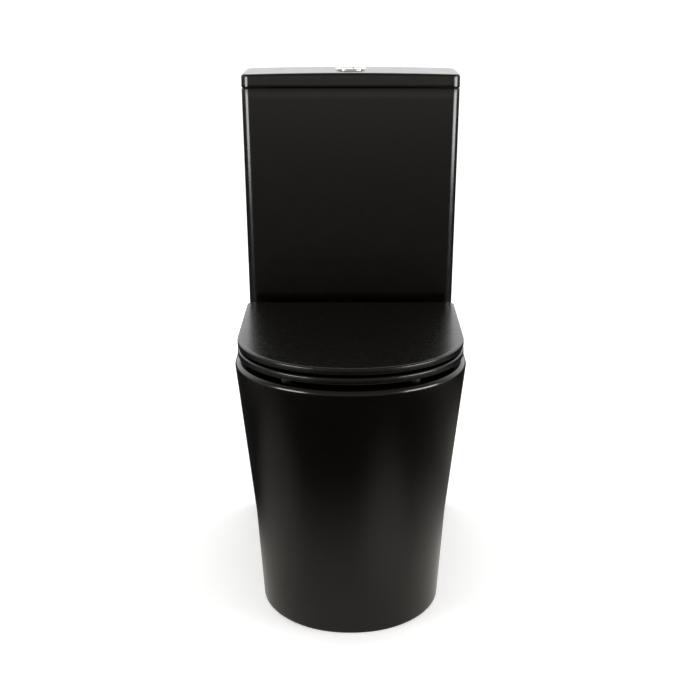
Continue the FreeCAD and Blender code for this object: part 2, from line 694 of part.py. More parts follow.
# ---- seat ---------------------------------------------------------------------------------------------
RING_BACK_Y = 101.0
RING_EAR_X = (88.0, 100.0)
COVER_EAR_X = (55.0, 67.0)
BLOCK_HALF_X = 9.0
HINGE_PLATE_Z = (SHELF_Z, SHELF_Z + 2.0)


def seat_blank(z, back_y, corner):
    """The seat's bow outline with small round corners at the back, as a slab."""
    outline = bow_outline(SEAT_HALF, SEAT_HALF, SEAT_WIDEST_Y, SEAT_FRONT_Y, back_y, RIM_ROUNDNESS, z[0])
    slab = Part.Face(outline).extrude(UP * (z[1] - z[0]))
    return rounded(slab, corner, lambda box: box.ZLength > 1 and box.XLength < 1 and box.YMin > back_y - 1)


def hinge_ear(x, web, side):
    """A knuckle on the hinge line, bored to run on the pin, with the web that joins it to its panel."""
    knuckle = rod(V(x[0], HINGE_Y, HINGE_Z), V(x[1], HINGE_Y, HINGE_Z), KNUCKLE_R)
    bore = rod(V(x[0] - 1, HINGE_Y, HINGE_Z), V(x[1] + 1, HINGE_Y, HINGE_Z), HINGE_PIN_R + RUNNING_GAP)
    ear = join(knuckle, web).cut(bore)
    return ear if side > 0 else ear.mirror(V(0, 0, 0), ACROSS)


def make_seat_ring():
    slab = seat_blank(RING_Z, RING_BACK_Y, 12.0)
    slab = rounded(slab, 3.0, lambda box: box.ZMin > RING_Z[1] - 0.1)
    slab = rounded(slab, 1.5, lambda box: box.ZMax < RING_Z[0] + 0.1)
    opening = oval(-236.0, 46.0, -78.0, 117.0, RING_Z[0] - 1)
    slab = slab.cut(Part.Face(opening).extrude(UP * 20))
    is_mouth = lambda box: box.ZMin > RING_Z[1] - 0.1 and box.XLength > 200 and box.YLength < 290
    slab = rounded(slab, 3.0, is_mouth)
    web = block(RING_EAR_X, (RING_BACK_Y - 5, HINGE_Y), (RING_Z[0] + 0.5, HINGE_Z + 3.5))
    ears = [hinge_ear(RING_EAR_X, web, side) for side in (-1, 1)]
    return join(slab, *ears)


def make_seat_lid():
    slab = seat_blank(COVER_Z, COVER_BACK_Y, 10.0)
    slab = rounded(slab, 3.0, lambda box: box.ZMin > COVER_Z[1] - 0.1)
    slab = rounded(slab, 1.2, lambda box: box.ZMax < COVER_Z[0] + 0.1)
    web = block(COVER_EAR_X, (HINGE_Y - KNUCKLE_R, HINGE_Y + KNUCKLE_R), (HINGE_Z, COVER_Z[0] + 1))
    ears = [hinge_ear(COVER_EAR_X, web, side) for side in (-1, 1)]
    return join(slab, *ears)


def make_ring_bumpers():
    pad = post(0, 0, (SHELF_Z, RING_Z[0]), 8.0)
    return at_places(pad, [(side * x, y) for side in (-1, 1) for x, y in ((159, -20), (96, -246))])


def make_cover_bumpers():
    pad = post(0, 0, (RING_Z[1], COVER_Z[0]), 7.0)
    return at_places(pad, [(side * x, y) for side in (-1, 1) for x, y in ((148, -20), (84, -246))])


def make_hinge_plates():
    plate = post(HINGE_X, HINGE_Y, HINGE_PLATE_Z, 19.0)
    return pair(plate.cut(post(HINGE_X, HINGE_Y, (SHELF_Z - 1, SHELF_Z + 3), 5.0)))


def make_hinge_blocks():
    x = (HINGE_X - BLOCK_HALF_X, HINGE_X + BLOCK_HALF_X)
    foot = block(x, (HINGE_Y - KNUCKLE_R, HINGE_Y + KNUCKLE_R), (HINGE_PLATE_Z[1], HINGE_Z))
    barrel = rod(V(x[0], HINGE_Y, HINGE_Z), V(x[1], HINGE_Y, HINGE_Z), KNUCKLE_R)
    bore = rod(V(x[0] - 1, HINGE_Y, HINGE_Z), V(x[1] + 1, HINGE_Y, HINGE_Z), HINGE_PIN_R)
    socket = post(HINGE_X, HINGE_Y, (SHELF_Z, 411.0), 5.0)
    return pair(join(foot, barrel).cut([bore, socket]))


def make_hinge_pins():
    inner_end = V(COVER_EAR_X[0] - 1, HINGE_Y, HINGE_Z)
    outer_end = V(RING_EAR_X[1] + 1, HINGE_Y, HINGE_Z)
    return pair(rod(inner_end, outer_end, HINGE_PIN_R))


def make_seat_bolts():
    return pair(post(HINGE_X, HINGE_Y, (352.0, 411.0), 5.0))


def make_seat_bushes():
    """Rubber bushes that centre the seat bolts in the shelf and take the nuts' pull."""
    under = SHELF_Z - SHELF_THICK
    profile = [(5, 384), (13, 384), (13, under), (7, under), (7, SHELF_Z), (5, SHELF_Z)]
    return pair(turned(profile, HINGE_X, HINGE_Y))


def make_seat_nuts():
    nut = tube(HINGE_X, HINGE_Y, (368.0, 384.0), 9.0, 5.0)
    wings = [block((HINGE_X + low, HINGE_X + high), (HINGE_Y - 2, HINGE_Y + 2), (368.0, 380.0))
             for low, high in ((-16, -7), (7, 16))]
    return pair(join(nut, *wings))


# ---- floor fixings ------------------------------------------------------------------------------------
BRACKET_FACE_X = 152.0
BRACKET_HOLE_X = 130.0
BRACKET_HALF_Y = 16.0


def make_floor_brackets():
    y = (FLOOR_FIX_Y - BRACKET_HALF_Y, FLOOR_FIX_Y + BRACKET_HALF_Y)
    foot = block((112.0, BRACKET_FACE_X), y, (0.0, 5.0))
    upright = block((BRACKET_FACE_X - 6, BRACKET_FACE_X), y, (0.0, 45.0))
    floor_hole = post(BRACKET_HOLE_X, FLOOR_FIX_Y, (-1, 6), 4.0)
    side_hole = rod(V(140, FLOOR_FIX_Y, FLOOR_FIX_Z), V(160, FLOOR_FIX_Y, FLOOR_FIX_Z), 2.5)
    return pair(join(foot, upright).cut([floor_hole, side_hole]))


def make_side_sleeves():
    """Plastic sleeves that line the holes in the pan's flanks."""
    start = V(BRACKET_FACE_X, FLOOR_FIX_Y, FLOOR_FIX_Z)
    end = V(SIDE_FACE_X - 4, FLOOR_FIX_Y, FLOOR_FIX_Z)
    return pair(rod(start, end, 5.0).cut(rod(start - ACROSS, end + ACROSS, 2.5)))


def make_side_screws():
    start = V(146, FLOOR_FIX_Y, FLOOR_FIX_Z)
    neck = V(SIDE_FACE_X - 4, FLOOR_FIX_Y, FLOOR_FIX_Z)
    head = rod(neck, neck + ACROSS * 1.8, 5.0)
    return pair(join(rod(start, neck, 2.5), head))


def make_side_caps():
    """Round caps that close the counterbores over the side screws."""
    neck = V(SIDE_FACE_X - 4, FLOOR_FIX_Y, FLOOR_FIX_Z)
    cap = rod(neck, neck + ACROSS * 5.5, 9.9).cut(rod(neck, neck + ACROSS * 2.4, 6.0))
    return pair(rounded(cap, 1.2, lambda box: box.XMin > SIDE_FACE_X + 1))


# ---- export -------------------------------------------------------------------------------------------
PIECES = {
    "pan": make_pan,
    "bowl": make_bowl,
    "trapway": make_trapway,
    "cistern_tank": make_cistern_tank,
    "cistern_lid": make_cistern_lid,
    "tank_pads": make_tank_pads,
    "outlet_gasket": make_outlet_gasket,
    "flush_valve_nut": make_flush_valve_nut,
    "coupling_gasket": make_coupling_gasket,
    "coupling_bolts": make_coupling_bolts,
    "coupling_seals": make_coupling_seals,
    "coupling_washers": make_coupling_washers,
    "wing_nuts": make_wing_nuts,
    "flush_valve_base": make_flush_valve_base,
    "flush_valve_cage": make_flush_valve_cage,
    "lever_pins": make_lever_pins,
    "full_flush_lever": lambda: make_flush_lever(-1),
    "half_flush_lever": lambda: make_flush_lever(1),
    "overflow_tube": make_overflow_tube,
    "flush_seal": make_flush_seal,
    "half_flush_float": make_half_flush_float,
    "button_bezel": make_button_bezel,
    "button_housing": make_button_housing,
    "button_nut": make_button_nut,
    "full_flush_button": lambda: make_flush_button(-1),
    "half_flush_button": lambda: make_flush_button(1),
    "full_flush_rod": lambda: make_flush_rod(-1),
    "half_flush_rod": lambda: make_flush_rod(1),
    "full_flush_spring": lambda: make_button_spring(-1),
    "half_flush_spring": lambda: make_button_spring(1),
    "fill_valve_body": make_fill_valve_body,
    "fill_valve_head": make_fill_valve_head,
    "fill_lever_pin": make_fill_lever_pin,
    "fill_valve_lever": make_fill_valve_lever,
    "fill_valve_float": make_fill_valve_float,
    "float_link": make_float_link,
    "inlet_gasket": make_inlet_gasket,
    "inlet_backnut": make_inlet_backnut,
    "seat_ring": make_seat_ring,
    "seat_lid": make_seat_lid,
    "ring_bumpers": make_ring_bumpers,
    "cover_bumpers": make_cover_bumpers,
    "hinge_plates": make_hinge_plates,
    "hinge_blocks": make_hinge_blocks,
    "hinge_pins": make_hinge_pins,
    "seat_bolts": make_seat_bolts,
    "seat_bushes": make_seat_bushes,
    "seat_nuts": make_seat_nuts,
    "floor_brackets": make_floor_brackets,
    "side_sleeves": make_side_sleeves,
    "side_screws": make_side_screws,
    "side_caps": make_side_caps,
}

os.makedirs("parts", exist_ok=True)
for name, make in PIECES.items():
    shape = make()
    sizes = ", ".join("%.1f" % (solid.Volume / 1000) for solid in shape.Solids)
    print("%-20s %d solid(s), valid %s, cm3 %s" % (name, len(shape.Solids), shape.isValid(), sizes))
    save(name, shape)
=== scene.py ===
import json
import math

import bmesh
import bpy
import numpy as np
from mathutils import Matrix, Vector


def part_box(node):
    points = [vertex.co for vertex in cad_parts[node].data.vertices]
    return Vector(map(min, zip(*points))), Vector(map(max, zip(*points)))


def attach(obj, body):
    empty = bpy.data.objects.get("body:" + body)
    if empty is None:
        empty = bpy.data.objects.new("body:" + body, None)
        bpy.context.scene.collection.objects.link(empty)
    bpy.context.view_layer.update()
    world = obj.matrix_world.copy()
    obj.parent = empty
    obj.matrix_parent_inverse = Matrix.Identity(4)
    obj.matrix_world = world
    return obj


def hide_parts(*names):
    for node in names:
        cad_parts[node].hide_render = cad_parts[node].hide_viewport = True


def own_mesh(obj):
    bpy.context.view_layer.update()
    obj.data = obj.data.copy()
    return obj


# Close coupled toilet in satin black. Shapes are worked out in millimetres and put into the meshes in metres.
# X to the right, -Y to the front, +Z up. Places come from the frame's own nodes.

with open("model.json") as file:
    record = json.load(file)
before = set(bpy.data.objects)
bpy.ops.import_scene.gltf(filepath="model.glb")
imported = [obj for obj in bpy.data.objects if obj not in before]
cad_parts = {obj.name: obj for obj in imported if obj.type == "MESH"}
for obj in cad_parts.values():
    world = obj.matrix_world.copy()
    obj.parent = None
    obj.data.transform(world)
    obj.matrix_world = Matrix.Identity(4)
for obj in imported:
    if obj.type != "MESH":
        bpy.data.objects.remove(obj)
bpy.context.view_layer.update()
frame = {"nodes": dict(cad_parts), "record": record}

# A millimetre, and the distance within which two points are one, in metres.
MM = 0.001
WELD = 2e-6


def span(node):
    """A CAD node's extents in millimetres, as (low, high) pairs for x, y and z."""
    low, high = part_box(node)
    return [(a / MM, b / MM) for a, b in zip(low, high)]


def middle(pair):
    return (pair[0] + pair[1]) / 2


# ---- surfaces and pieces ------------------------------------------------------------------------------
def welded(mesh, repair=False):
    """Makes coinciding points one and turns faces outwards. A repair also drops slivers and fills holes."""
    work = bmesh.new()
    work.from_mesh(mesh)
    bmesh.ops.remove_doubles(work, verts=work.verts, dist=WELD)
    if repair:
        bmesh.ops.dissolve_degenerate(work, edges=work.edges, dist=WELD)
        bmesh.ops.holes_fill(work, edges=work.edges, sides=0)
    bmesh.ops.recalc_face_normals(work, faces=work.faces)
    work.to_mesh(mesh)
    work.free()
    return mesh


class Surface:
    """Patches of points and faces, in millimetres, that are welded where their borders meet."""

    def __init__(self):
        self.points = []
        self.faces = []
        self.count = 0

    def sheet(self, rows, ring=True, closed=False):
        """Quads over a (rows, columns) grid.

        A ring joins the last column to the first, and a closed one the last row to the first.
        """
        rows = np.asarray(rows, float)
        down, across = rows.shape[:2]
        index = np.arange(down * across).reshape(down, across) + self.count
        if ring:
            index = np.hstack([index, index[:, :1]])
        if closed:
            index = np.vstack([index, index[:1]])
        quads = np.stack([index[:-1, :-1], index[1:, :-1], index[1:, 1:], index[:-1, 1:]], -1)
        self.points.append(rows.reshape(-1, 3))
        self.faces += quads.reshape(-1, 4).tolist()
        self.count += down * across
        return self

    def face(self, loop):
        """One flat face inside a closed line of points."""
        loop = np.asarray(loop, float)
        self.points.append(loop)
        self.faces.append(list(range(self.count, self.count + len(loop))))
        self.count += len(loop)
        return self

    def mesh(self, name):
        mesh = bpy.data.meshes.new(name)
        mesh.from_pydata((np.vstack(self.points) * MM).tolist(), [], self.faces)
        return welded(mesh)


def lofted(rows):
    """A solid skinned over closed loops, with a flat face on the first and the last."""
    return Surface().sheet(rows).face(rows[0]).face(rows[-1])


def object_of(mesh):
    thing = bpy.data.objects.new(mesh.name, mesh)
    bpy.context.scene.collection.objects.link(thing)
    return thing


def carved(name, base, *steps):
    """A mesh of one solid after a row of steps, each of which joins other solids to it or cuts them away."""
    body = object_of(base.mesh(name))
    tools = []
    for operation, shapes in steps:
        for shape in shapes:
            tool = object_of(shape.mesh("tool"))
            tools.append(tool)
            step = body.modifiers.new(operation, "BOOLEAN")
            step.operation = operation
            step.solver = "EXACT"
            step.object = tool
    graph = bpy.context.evaluated_depsgraph_get()
    mesh = bpy.data.meshes.new_from_object(body.evaluated_get(graph))
    mesh.name = name
    for thing in [body, *tools]:
        spare = thing.data
        bpy.data.objects.remove(thing)
        bpy.data.meshes.remove(spare)
    return welded(mesh, repair=True)


SHARP = math.radians(32.0)


def piece(mesh, body, material, *nodes):
    """Puts a finished mesh on its body in place of CAD nodes, smooth but for its sharp edges."""
    thing = object_of(mesh)
    mesh.materials.clear()
    mesh.materials.append(FINISHES[material])
    mesh.shade_smooth()
    mesh.set_sharp_from_angle(angle=SHARP)
    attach(thing, body)
    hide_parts(*nodes)
    return thing


# ---- lines and solids ---------------------------------------------------------------------------------
def quarter(radius, steps, end=90.0):
    """How far in and up a quarter round goes from its foot: radius (1 - cos t) and radius sin t."""
    turn = np.radians(np.linspace(0.0, end, steps + 1))
    return radius * (1 - np.cos(turn)), radius * np.sin(turn)


def rounded_rectangle(half, front, back, corner, z, middle_x=0.0, steps=10, run=6):
    """A plan rectangle with round corners: quarter circles joined by straight runs."""
    turn = np.radians(np.linspace(0, 90, steps + 1))
    arc = np.stack([np.cos(turn), np.sin(turn)], -1) * corner
    x = half - corner
    near, far = front + corner, back - corner
    corners = [((x, far), (1, 0)), ((-x, far), (0, 1)), ((-x, near), (-1, 0)), ((x, near), (0, -1))]
    parts = []
    for centre, (cosine, sine) in corners:
        turned_arc = arc @ np.array([[cosine, sine], [-sine, cosine]])
        parts.append(turned_arc + np.array(centre))
    line = []
    for this, following in zip(parts, parts[1:] + parts[:1]):
        line.append(this)
        share = np.linspace(0, 1, run + 1)[1:-1, None]
        line.append(this[-1] + (following[0] - this[-1]) * share)
    line = np.vstack(line)
    height = np.broadcast_to(z, len(line))
    return np.column_stack([line[:, 0] + middle_x, line[:, 1], height])


def brick(x, y, z, edge=0.6, steps=3):
    """A box with all its edges rounded: rounded rectangles whose inset follows a quarter circle at each end.

    The plan corners stay a little rounder than the inset, so that they never close to a point.
    """
    edge = min(edge, *[(pair[1] - pair[0]) / 2.1 for pair in (x, y, z)])
    inset, rise = quarter(edge, steps)
    half = (x[1] - x[0]) / 2

    def ring(shrink, height):
        corner = edge * 1.02 - shrink * 0.98
        return rounded_rectangle(half - shrink, y[0] + shrink, y[1] - shrink, corner, height, middle(x),
                                 steps=4, run=2)

    low = [ring(i, z[0] + edge - r) for i, r in zip(inset[::-1], rise[::-1])]
    high = [ring(i, z[1] - edge + r) for i, r in zip(inset, rise)]
    return lofted(np.array(low + high))


# The order that turns (across, across, along) into (x, y, z) for each axis.
AXES = {"x": (2, 0, 1), "y": (0, 2, 1), "z": (0, 1, 2)}


def spun(profile, centre, axis="z", count=64):
    """A turned solid: an outline of (radius, place along the axis) points spun about an axis by a centre.

    An outline that starts and ends on the axis closes in two poles, and one that doesn't is a ring.
    """
    profile = np.asarray(profile, float)
    turn = np.linspace(0, 2 * np.pi, count, endpoint=False)
    radius = profile[:, :1]
    rows = np.stack([radius * np.cos(turn), radius * np.sin(turn),
                     np.repeat(profile[:, 1:], count, 1)], -1)
    rows = rows[:, :, AXES[axis]] + np.asarray(centre, float)
    ends_on_axis = profile[0, 0] == 0 and profile[-1, 0] == 0
    return Surface().sheet(rows, closed=not ends_on_axis)


def eased(corners, steps=4):
    """An outline with its corners rounded.

    Each (a, b, radius) corner becomes the curve (1 - t)^2 start + 2 t (1 - t) corner + t^2 end. It meets
    its two sides where a circle of that radius would.
    """
    corners = np.asarray(corners, float)
    points = []
    for before, corner, after in zip(np.roll(corners, 1, 0), corners, np.roll(corners, -1, 0)):
        radius = corner[2]
        here = corner[:2]
        if radius == 0:
            points.append(here[None])
            continue
        inward = before[:2] - here
        outward = after[:2] - here
        reach = min(np.linalg.norm(inward), np.linalg.norm(outward)) / 2
        inward = inward / np.linalg.norm(inward)
        outward = outward / np.linalg.norm(outward)
        half_turn = math.acos(float(np.clip(inward @ outward, -1, 1))) / 2
        setback = min(radius / math.tan(half_turn), reach)
        share = np.linspace(0, 1, steps + 1)[:, None]
        start, end = here + inward * setback, here + outward * setback
        points.append((1 - share) ** 2 * start + 2 * share * (1 - share) * here + share ** 2 * end)
    return np.vstack(points)


def pin(radius, low, high, centre, axis="z", edge=0.4, count=48):
    """A round bar along an axis with eased ends."""
    outline = eased([(0, low, 0), (radius, low, edge), (radius, high, edge), (0, high, 0)])
    return spun(outline, centre, axis, count)


def bent_line(points, bend, steps=10):
    """Straight runs in the middle plane joined by tangent arcs of one radius, as (y, z) points.

    About its centre an arc is (sin((1 - t) sweep) start + sin(t sweep) end) / sin(sweep).
    """
    points = np.asarray(points, float)
    line = [points[:1]]
    for before, corner, after in zip(points, points[1:], points[2:]):
        inward = (before - corner) / np.linalg.norm(before - corner)
        outward = (after - corner) / np.linalg.norm(after - corner)
        half_turn = math.acos(float(inward @ outward)) / 2
        bisector = (inward + outward) / np.linalg.norm(inward + outward)
        centre = corner + bisector * bend / math.sin(half_turn)
        start = corner + inward * bend / math.tan(half_turn) - centre
        end = corner + outward * bend / math.tan(half_turn) - centre
        sweep = math.pi - 2 * half_turn
        share = np.linspace(0, 1, steps + 1)[:, None]
        arc = (np.sin((1 - share) * sweep) * start + np.sin(share * sweep) * end) / math.sin(sweep)
        line.append(centre + arc)
    line.append(points[-1:])
    return np.vstack(line)


def hose(path, radius, count=64):
    """A round bar along a line of 3-D points: circles across the line's own direction, with flat ends."""
    path = np.asarray(path, float)
    along = np.gradient(path, axis=0)
    along /= np.linalg.norm(along, axis=1, keepdims=True)
    side = np.cross(along, [0.0, 0.0, 1.0])
    level = np.linalg.norm(side, axis=1, keepdims=True) < 1e-6
    side = np.where(level, [1.0, 0.0, 0.0], side)
    side /= np.linalg.norm(side, axis=1, keepdims=True)
    up = np.cross(side, along)
    turn = np.linspace(0, 2 * np.pi, count, endpoint=False)[None, :, None]
    rows = path[:, None] + radius * (side[:, None] * np.cos(turn) + up[:, None] * np.sin(turn))
    return lofted(rows)


# ---- finishes -----------------------------------------------------------------------------------------
class Finish:
    """A material whose colour, roughness and relief come from noise in the piece's own coordinates."""

    def __init__(self, name):
        self.material = bpy.data.materials.new(name)
        self.material.use_nodes = True
        self.nodes = self.material.node_tree.nodes
        self.links = self.material.node_tree.links
        self.shader = self.nodes["Principled BSDF"]
        self.place = self.nodes.new("ShaderNodeTexCoord").outputs["Object"]

    def stretched(self, scale):
        """The piece's coordinates, scaled by a different amount along each axis."""
        mapping = self.nodes.new("ShaderNodeMapping")
        mapping.inputs["Scale"].default_value = scale
        self.links.new(self.place, mapping.inputs["Vector"])
        return mapping.outputs["Vector"]

    def noise(self, scale, detail=3.0, place=None):
        """Soft clouds, with so many to the metre."""
        texture = self.nodes.new("ShaderNodeTexNoise")
        texture.inputs["Scale"].default_value = scale
        texture.inputs["Detail"].default_value = detail
        texture.inputs["Roughness"].default_value = 0.55
        self.links.new(place or self.place, texture.inputs["Vector"])
        return texture.outputs["Fac"]

    def cells(self, scale, output="Distance"):
        """Cells, so many to the metre: a point's distance from its cell's middle, or the cell's own tone."""
        texture = self.nodes.new("ShaderNodeTexVoronoi")
        texture.feature = "F1"
        texture.inputs["Scale"].default_value = scale
        self.links.new(self.place, texture.inputs["Vector"])
        return texture.outputs[output]

    def between(self, value, low, high, start=0.3, end=0.7):
        """A texture value stretched to run between two numbers."""
        stretch = self.nodes.new("ShaderNodeMapRange")
        stretch.inputs["From Min"].default_value = start
        stretch.inputs["From Max"].default_value = end
        stretch.inputs["To Min"].default_value = low
        stretch.inputs["To Max"].default_value = high
        self.links.new(value, stretch.inputs["Value"])
        return stretch.outputs["Result"]

    def colour(self, value, dark, light, start=0.3, end=0.7):
        """Paint that runs from a dark to a light tone with a texture value."""
        mix = self.nodes.new("ShaderNodeMix")
        mix.data_type = "RGBA"
        self.links.new(self.between(value, 0.0, 1.0, start, end), mix.inputs["Factor"])
        mix.inputs["A"].default_value = (*dark, 1.0)
        mix.inputs["B"].default_value = (*light, 1.0)
        self.links.new(mix.outputs["Result"], self.shader.inputs["Base Color"])

    def roughness(self, value, low, high):
        self.links.new(self.between(value, low, high), self.shader.inputs["Roughness"])

    def relief(self, value, height_mm):
        """Raises the surface by a texture value, to a height in millimetres, over any relief before it."""
        bump = self.nodes.new("ShaderNodeBump")
        bump.inputs["Strength"].default_value = 1.0
        bump.inputs["Distance"].default_value = height_mm * MM
        self.links.new(value, bump.inputs["Height"])
        above = self.shader.inputs["Normal"]
        if above.is_linked:
            self.links.new(above.links[0].from_socket, bump.inputs["Normal"])
        self.links.new(bump.outputs["Normal"], above)

    def set(self, **values):
        """Sets the shader's own sockets and hands back the finished material."""
        for name, value in values.items():
            self.shader.inputs[name.replace("_", " ")].default_value = value
        return self.material


def glazed_ceramic():
    """Satin black glaze: a faint slow drift in tone, soft orange peel, and a fine tooth in the gloss."""
    finish = Finish("satin_black_glaze")
    finish.colour(finish.noise(9.0), (0.0009, 0.0007, 0.0004), (0.0015, 0.0012, 0.0007))
    finish.roughness(finish.noise(60.0, 5.0), 0.17, 0.21)
    finish.relief(finish.noise(30.0, 1.0), 0.025)
    finish.relief(finish.noise(700.0, 2.0), 0.003)
    return finish.set(IOR=1.5)


def black_duroplast():
    """Pressed black seat resin: even and satin, with a very fine grain and faint polishing waves."""
    finish = Finish("black_seat_resin")
    finish.colour(finish.noise(14.0), (0.0011, 0.0009, 0.0005), (0.0018, 0.0015, 0.0010))
    finish.roughness(finish.noise(80.0, 4.0), 0.23, 0.28)
    finish.relief(finish.noise(18.0, 1.0), 0.02)
    finish.relief(finish.noise(600.0, 1.0), 0.0008)
    return finish.set(IOR=1.5)


def chrome_plate():
    """Bright plating with faint wipe marks and hairline polishing scratches."""
    finish = Finish("bright_chrome")
    finish.colour(finish.noise(40.0), (0.72, 0.73, 0.75), (0.86, 0.87, 0.88))
    finish.roughness(finish.noise(180.0, 5.0), 0.05, 0.12)
    finish.relief(finish.noise(900.0, 3.0, place=finish.stretched((1.0, 14.0, 1.0))), 0.002)
    return finish.set(Metallic=1.0)


def moulded(name, dark, light, low, high, soft=0.0):
    """Moulded plastic or rubber: a mottled tone, slow sink waves, and a grain a third as high."""
    waves = 0.02
    finish = Finish(name)
    finish.colour(finish.noise(30.0, 4.0), dark, light)
    finish.roughness(finish.noise(90.0, 4.0), low, high)
    finish.relief(finish.noise(26.0, 1.0), waves)
    finish.relief(finish.noise(1280.0, 3.0), waves / 3)
    finish.shader.inputs["Subsurface Weight"].default_value = soft
    finish.shader.inputs["Subsurface Radius"].default_value = (0.002, 0.002, 0.002)
    return finish.set(IOR=1.48)


def foam_rubber():
    """Open black foam: round cells sunk into the surface, with thin walls between them. The colour is painted
    darker towards each cell's middle, as painted shade in the sunk cells.
    """
    finish = Finish("black_foam")
    cell = finish.cells(700.0)
    # painted shade: the tone darkens towards each cell's middle, where the cell sinks
    finish.colour(cell, (0.006, 0.006, 0.006), (0.03, 0.03, 0.031), 0.1, 0.6)
    finish.roughness(finish.noise(120.0), 0.85, 0.97)
    finish.relief(cell, 0.5)
    return finish.set(IOR=1.4)


def brushed_steel():
    """Stainless steel with fine drawn lines along its length and slightly uneven gloss."""
    finish = Finish("brushed_stainless")
    lines = finish.noise(260.0, 5.0, place=finish.stretched((1.0, 1.0, 0.05)))
    finish.colour(lines, (0.42, 0.42, 0.43), (0.62, 0.62, 0.63))
    finish.roughness(finish.noise(90.0, 4.0), 0.22, 0.36)
    finish.relief(lines, 0.01)
    return finish.set(Metallic=1.0)


def zinc_steel():
    """Galvanised steel: flat crystals of slightly different grey, each with its own dullness."""
    finish = Finish("zinc_plated_steel")
    crystals = finish.cells(150.0, output="Color")
    finish.colour(crystals, (0.44, 0.45, 0.46), (0.62, 0.63, 0.64), 0.2, 0.8)
    finish.roughness(crystals, 0.32, 0.5)
    finish.relief(finish.noise(500.0, 4.0), 0.01)
    return finish.set(Metallic=1.0)


FINISHES = {
    "glazed_ceramic": glazed_ceramic(),
    "black_duroplast": black_duroplast(),
    "chrome_plate": chrome_plate(),
    "foam_rubber": foam_rubber(),
    "stainless_steel": brushed_steel(),
    "zinc_steel": zinc_steel(),
    "black_rubber": moulded("black_rubber", (0.003, 0.003, 0.003), (0.006, 0.006, 0.006), 0.6, 0.75),
    "black_hinge_plastic": moulded("black_hinge_plastic", (0.004, 0.004, 0.004), (0.007, 0.007, 0.007),
                                   0.3, 0.42),
    "silicone": moulded("red_silicone", (0.42, 0.06, 0.04), (0.50, 0.08, 0.06), 0.4, 0.55, soft=0.2),
    "white_plastic": moulded("white_plastic", (0.70, 0.70, 0.68), (0.80, 0.80, 0.78), 0.35, 0.5, soft=0.1),
    "grey_plastic": moulded("grey_plastic", (0.22, 0.23, 0.24), (0.28, 0.29, 0.30), 0.4, 0.55),
    "blue_plastic": moulded("blue_plastic", (0.03, 0.12, 0.33), (0.04, 0.16, 0.42), 0.35, 0.48),
}


# ---- pan ----------------------------------------------------------------------------------------------
BACK = span("pan")[1][1]
FRONT = span("seat_lid")[1][0]
SHELF = span("pan")[2][1]
REAR_HALF = span("pan")[0][1]

# The half width at the floor, and how it grows with height: a slow taper, and a further one from a height on.
FLOOR_HALF = 141.8
FOOT_TAPER = 0.046
FLANK_TAPER = 0.0727
TAPER_START = 84.0
TAPER_BLEND = 12.0

# At the floor and at the rim: where the plan is widest, where its front is, and its superellipse power.
WIDEST = (-110.0, -106.0)
PAN_FRONT = (-264.0, FRONT)
ROUNDNESS = (2.12, 2.06)

WALL = 12.0
FOOT_EDGE = 2.5
RIM_EDGE = 10.0
SHELF_THICKNESS = 18.0
CEILING = SHELF - 35.0
CEILING_COVE = 14.0
PAST_BACK = BACK + 20.0


def bow(half, back_half, widest, front, back, roundness, sides=36, nose=120, across=16):
    """A pan's closed plan outline: a superellipse in front, straight sides that spread, and a straight back.

    The superellipse's half width shrinks with the sides' own spread, so that it leaves them smoothly. Across
    it is (half + flare ahead) cos t, and ahead it is its length times sin t, each raised to 2 / roundness.
    """
    flare = (back_half - half) / (back - widest)
    turn = np.linspace(0, np.pi, nose + 1)
    ahead = (front - widest) * np.sin(turn).clip(0) ** (2 / roundness)
    cosine = np.cos(turn)
    x = (half + flare * ahead) * np.sign(cosine) * np.abs(cosine) ** (2 / roundness)
    nose_line = np.stack([x, widest + ahead], -1)
    share = np.linspace(0, 1, sides + 1)[:-1, None]
    right = np.array([back_half, back]) + share * np.array([half - back_half, widest - back])
    left = (right * [-1, 1])[::-1]
    behind = np.stack([np.linspace(-back_half, back_half, across + 2)[1:-1], np.full(across, back)], -1)
    return np.vstack([right, nose_line, left, behind])


def pan_half(z):
    """Half the pan's width where it is widest: a slow taper at the foot that blends into a steeper flank."""
    flank = TAPER_BLEND * np.log1p(np.exp((z - TAPER_START) / TAPER_BLEND))
    return FLOOR_HALF + FOOT_TAPER * z + FLANK_TAPER * flank


def pan_loop(z, inset=0.0, back=BACK):
    """The pan's plan outline at a height, drawn in by an inset at the sides and the front."""
    low, high = pan_half(0.0), pan_half(SHELF)
    half = pan_half(z)
    rise = (half - low) / (high - low)
    widest = WIDEST[0] + (WIDEST[1] - WIDEST[0]) * rise
    front = PAN_FRONT[0] + (PAN_FRONT[1] - PAN_FRONT[0]) * rise
    roundness = ROUNDNESS[0] + (ROUNDNESS[1] - ROUNDNESS[0]) * rise
    back_half = half + (REAR_HALF - half) * (back - widest) / (BACK - widest)
    line = bow(half - inset, back_half - inset, widest, front + inset, back, roundness)
    return np.column_stack([line, np.full(len(line), z)])


# Height, front, back and half width of the bowl's inside, from the rim down to the sump.
BOWL = np.array([
    (384.0, -263.0, 68.0, 142.0), (364.0, -268.0, 70.0, 147.0), (344.0, -260.0, 66.0, 139.0),
    (300.0, -233.0, 58.0, 122.0), (240.0, -174.0, 50.0, 97.0), (180.0, -114.0, 43.0, 71.0),
    (130.0, -77.0, 38.0, 52.0), (90.0, -58.0, 34.0, 41.0), (64.0, -40.0, 20.0, 29.0),
])
# How far out and how far over the shelf the bowl's mouth runs as it rounds over into the rim.
MOUTH_ROUND = ((9.0, 3.0), (5.6, 0.6), (4.4, -0.25), (3.0, -0.85), (1.7, -1.8), (0.7, -3.2), (0.15, -4.7),
               (0.0, -6.2))
BOWL_WALL = 11.0
BOWL_WALL_TOP = 392.0
SUMP = 52.0
SUMP_ROUND = 18.0

# The flush duct's half width and heights, and the wall round it.
DUCT_HALF = 40.0
DUCT_Z = (346.0, 373.0)
DUCT_WALL = 12.0

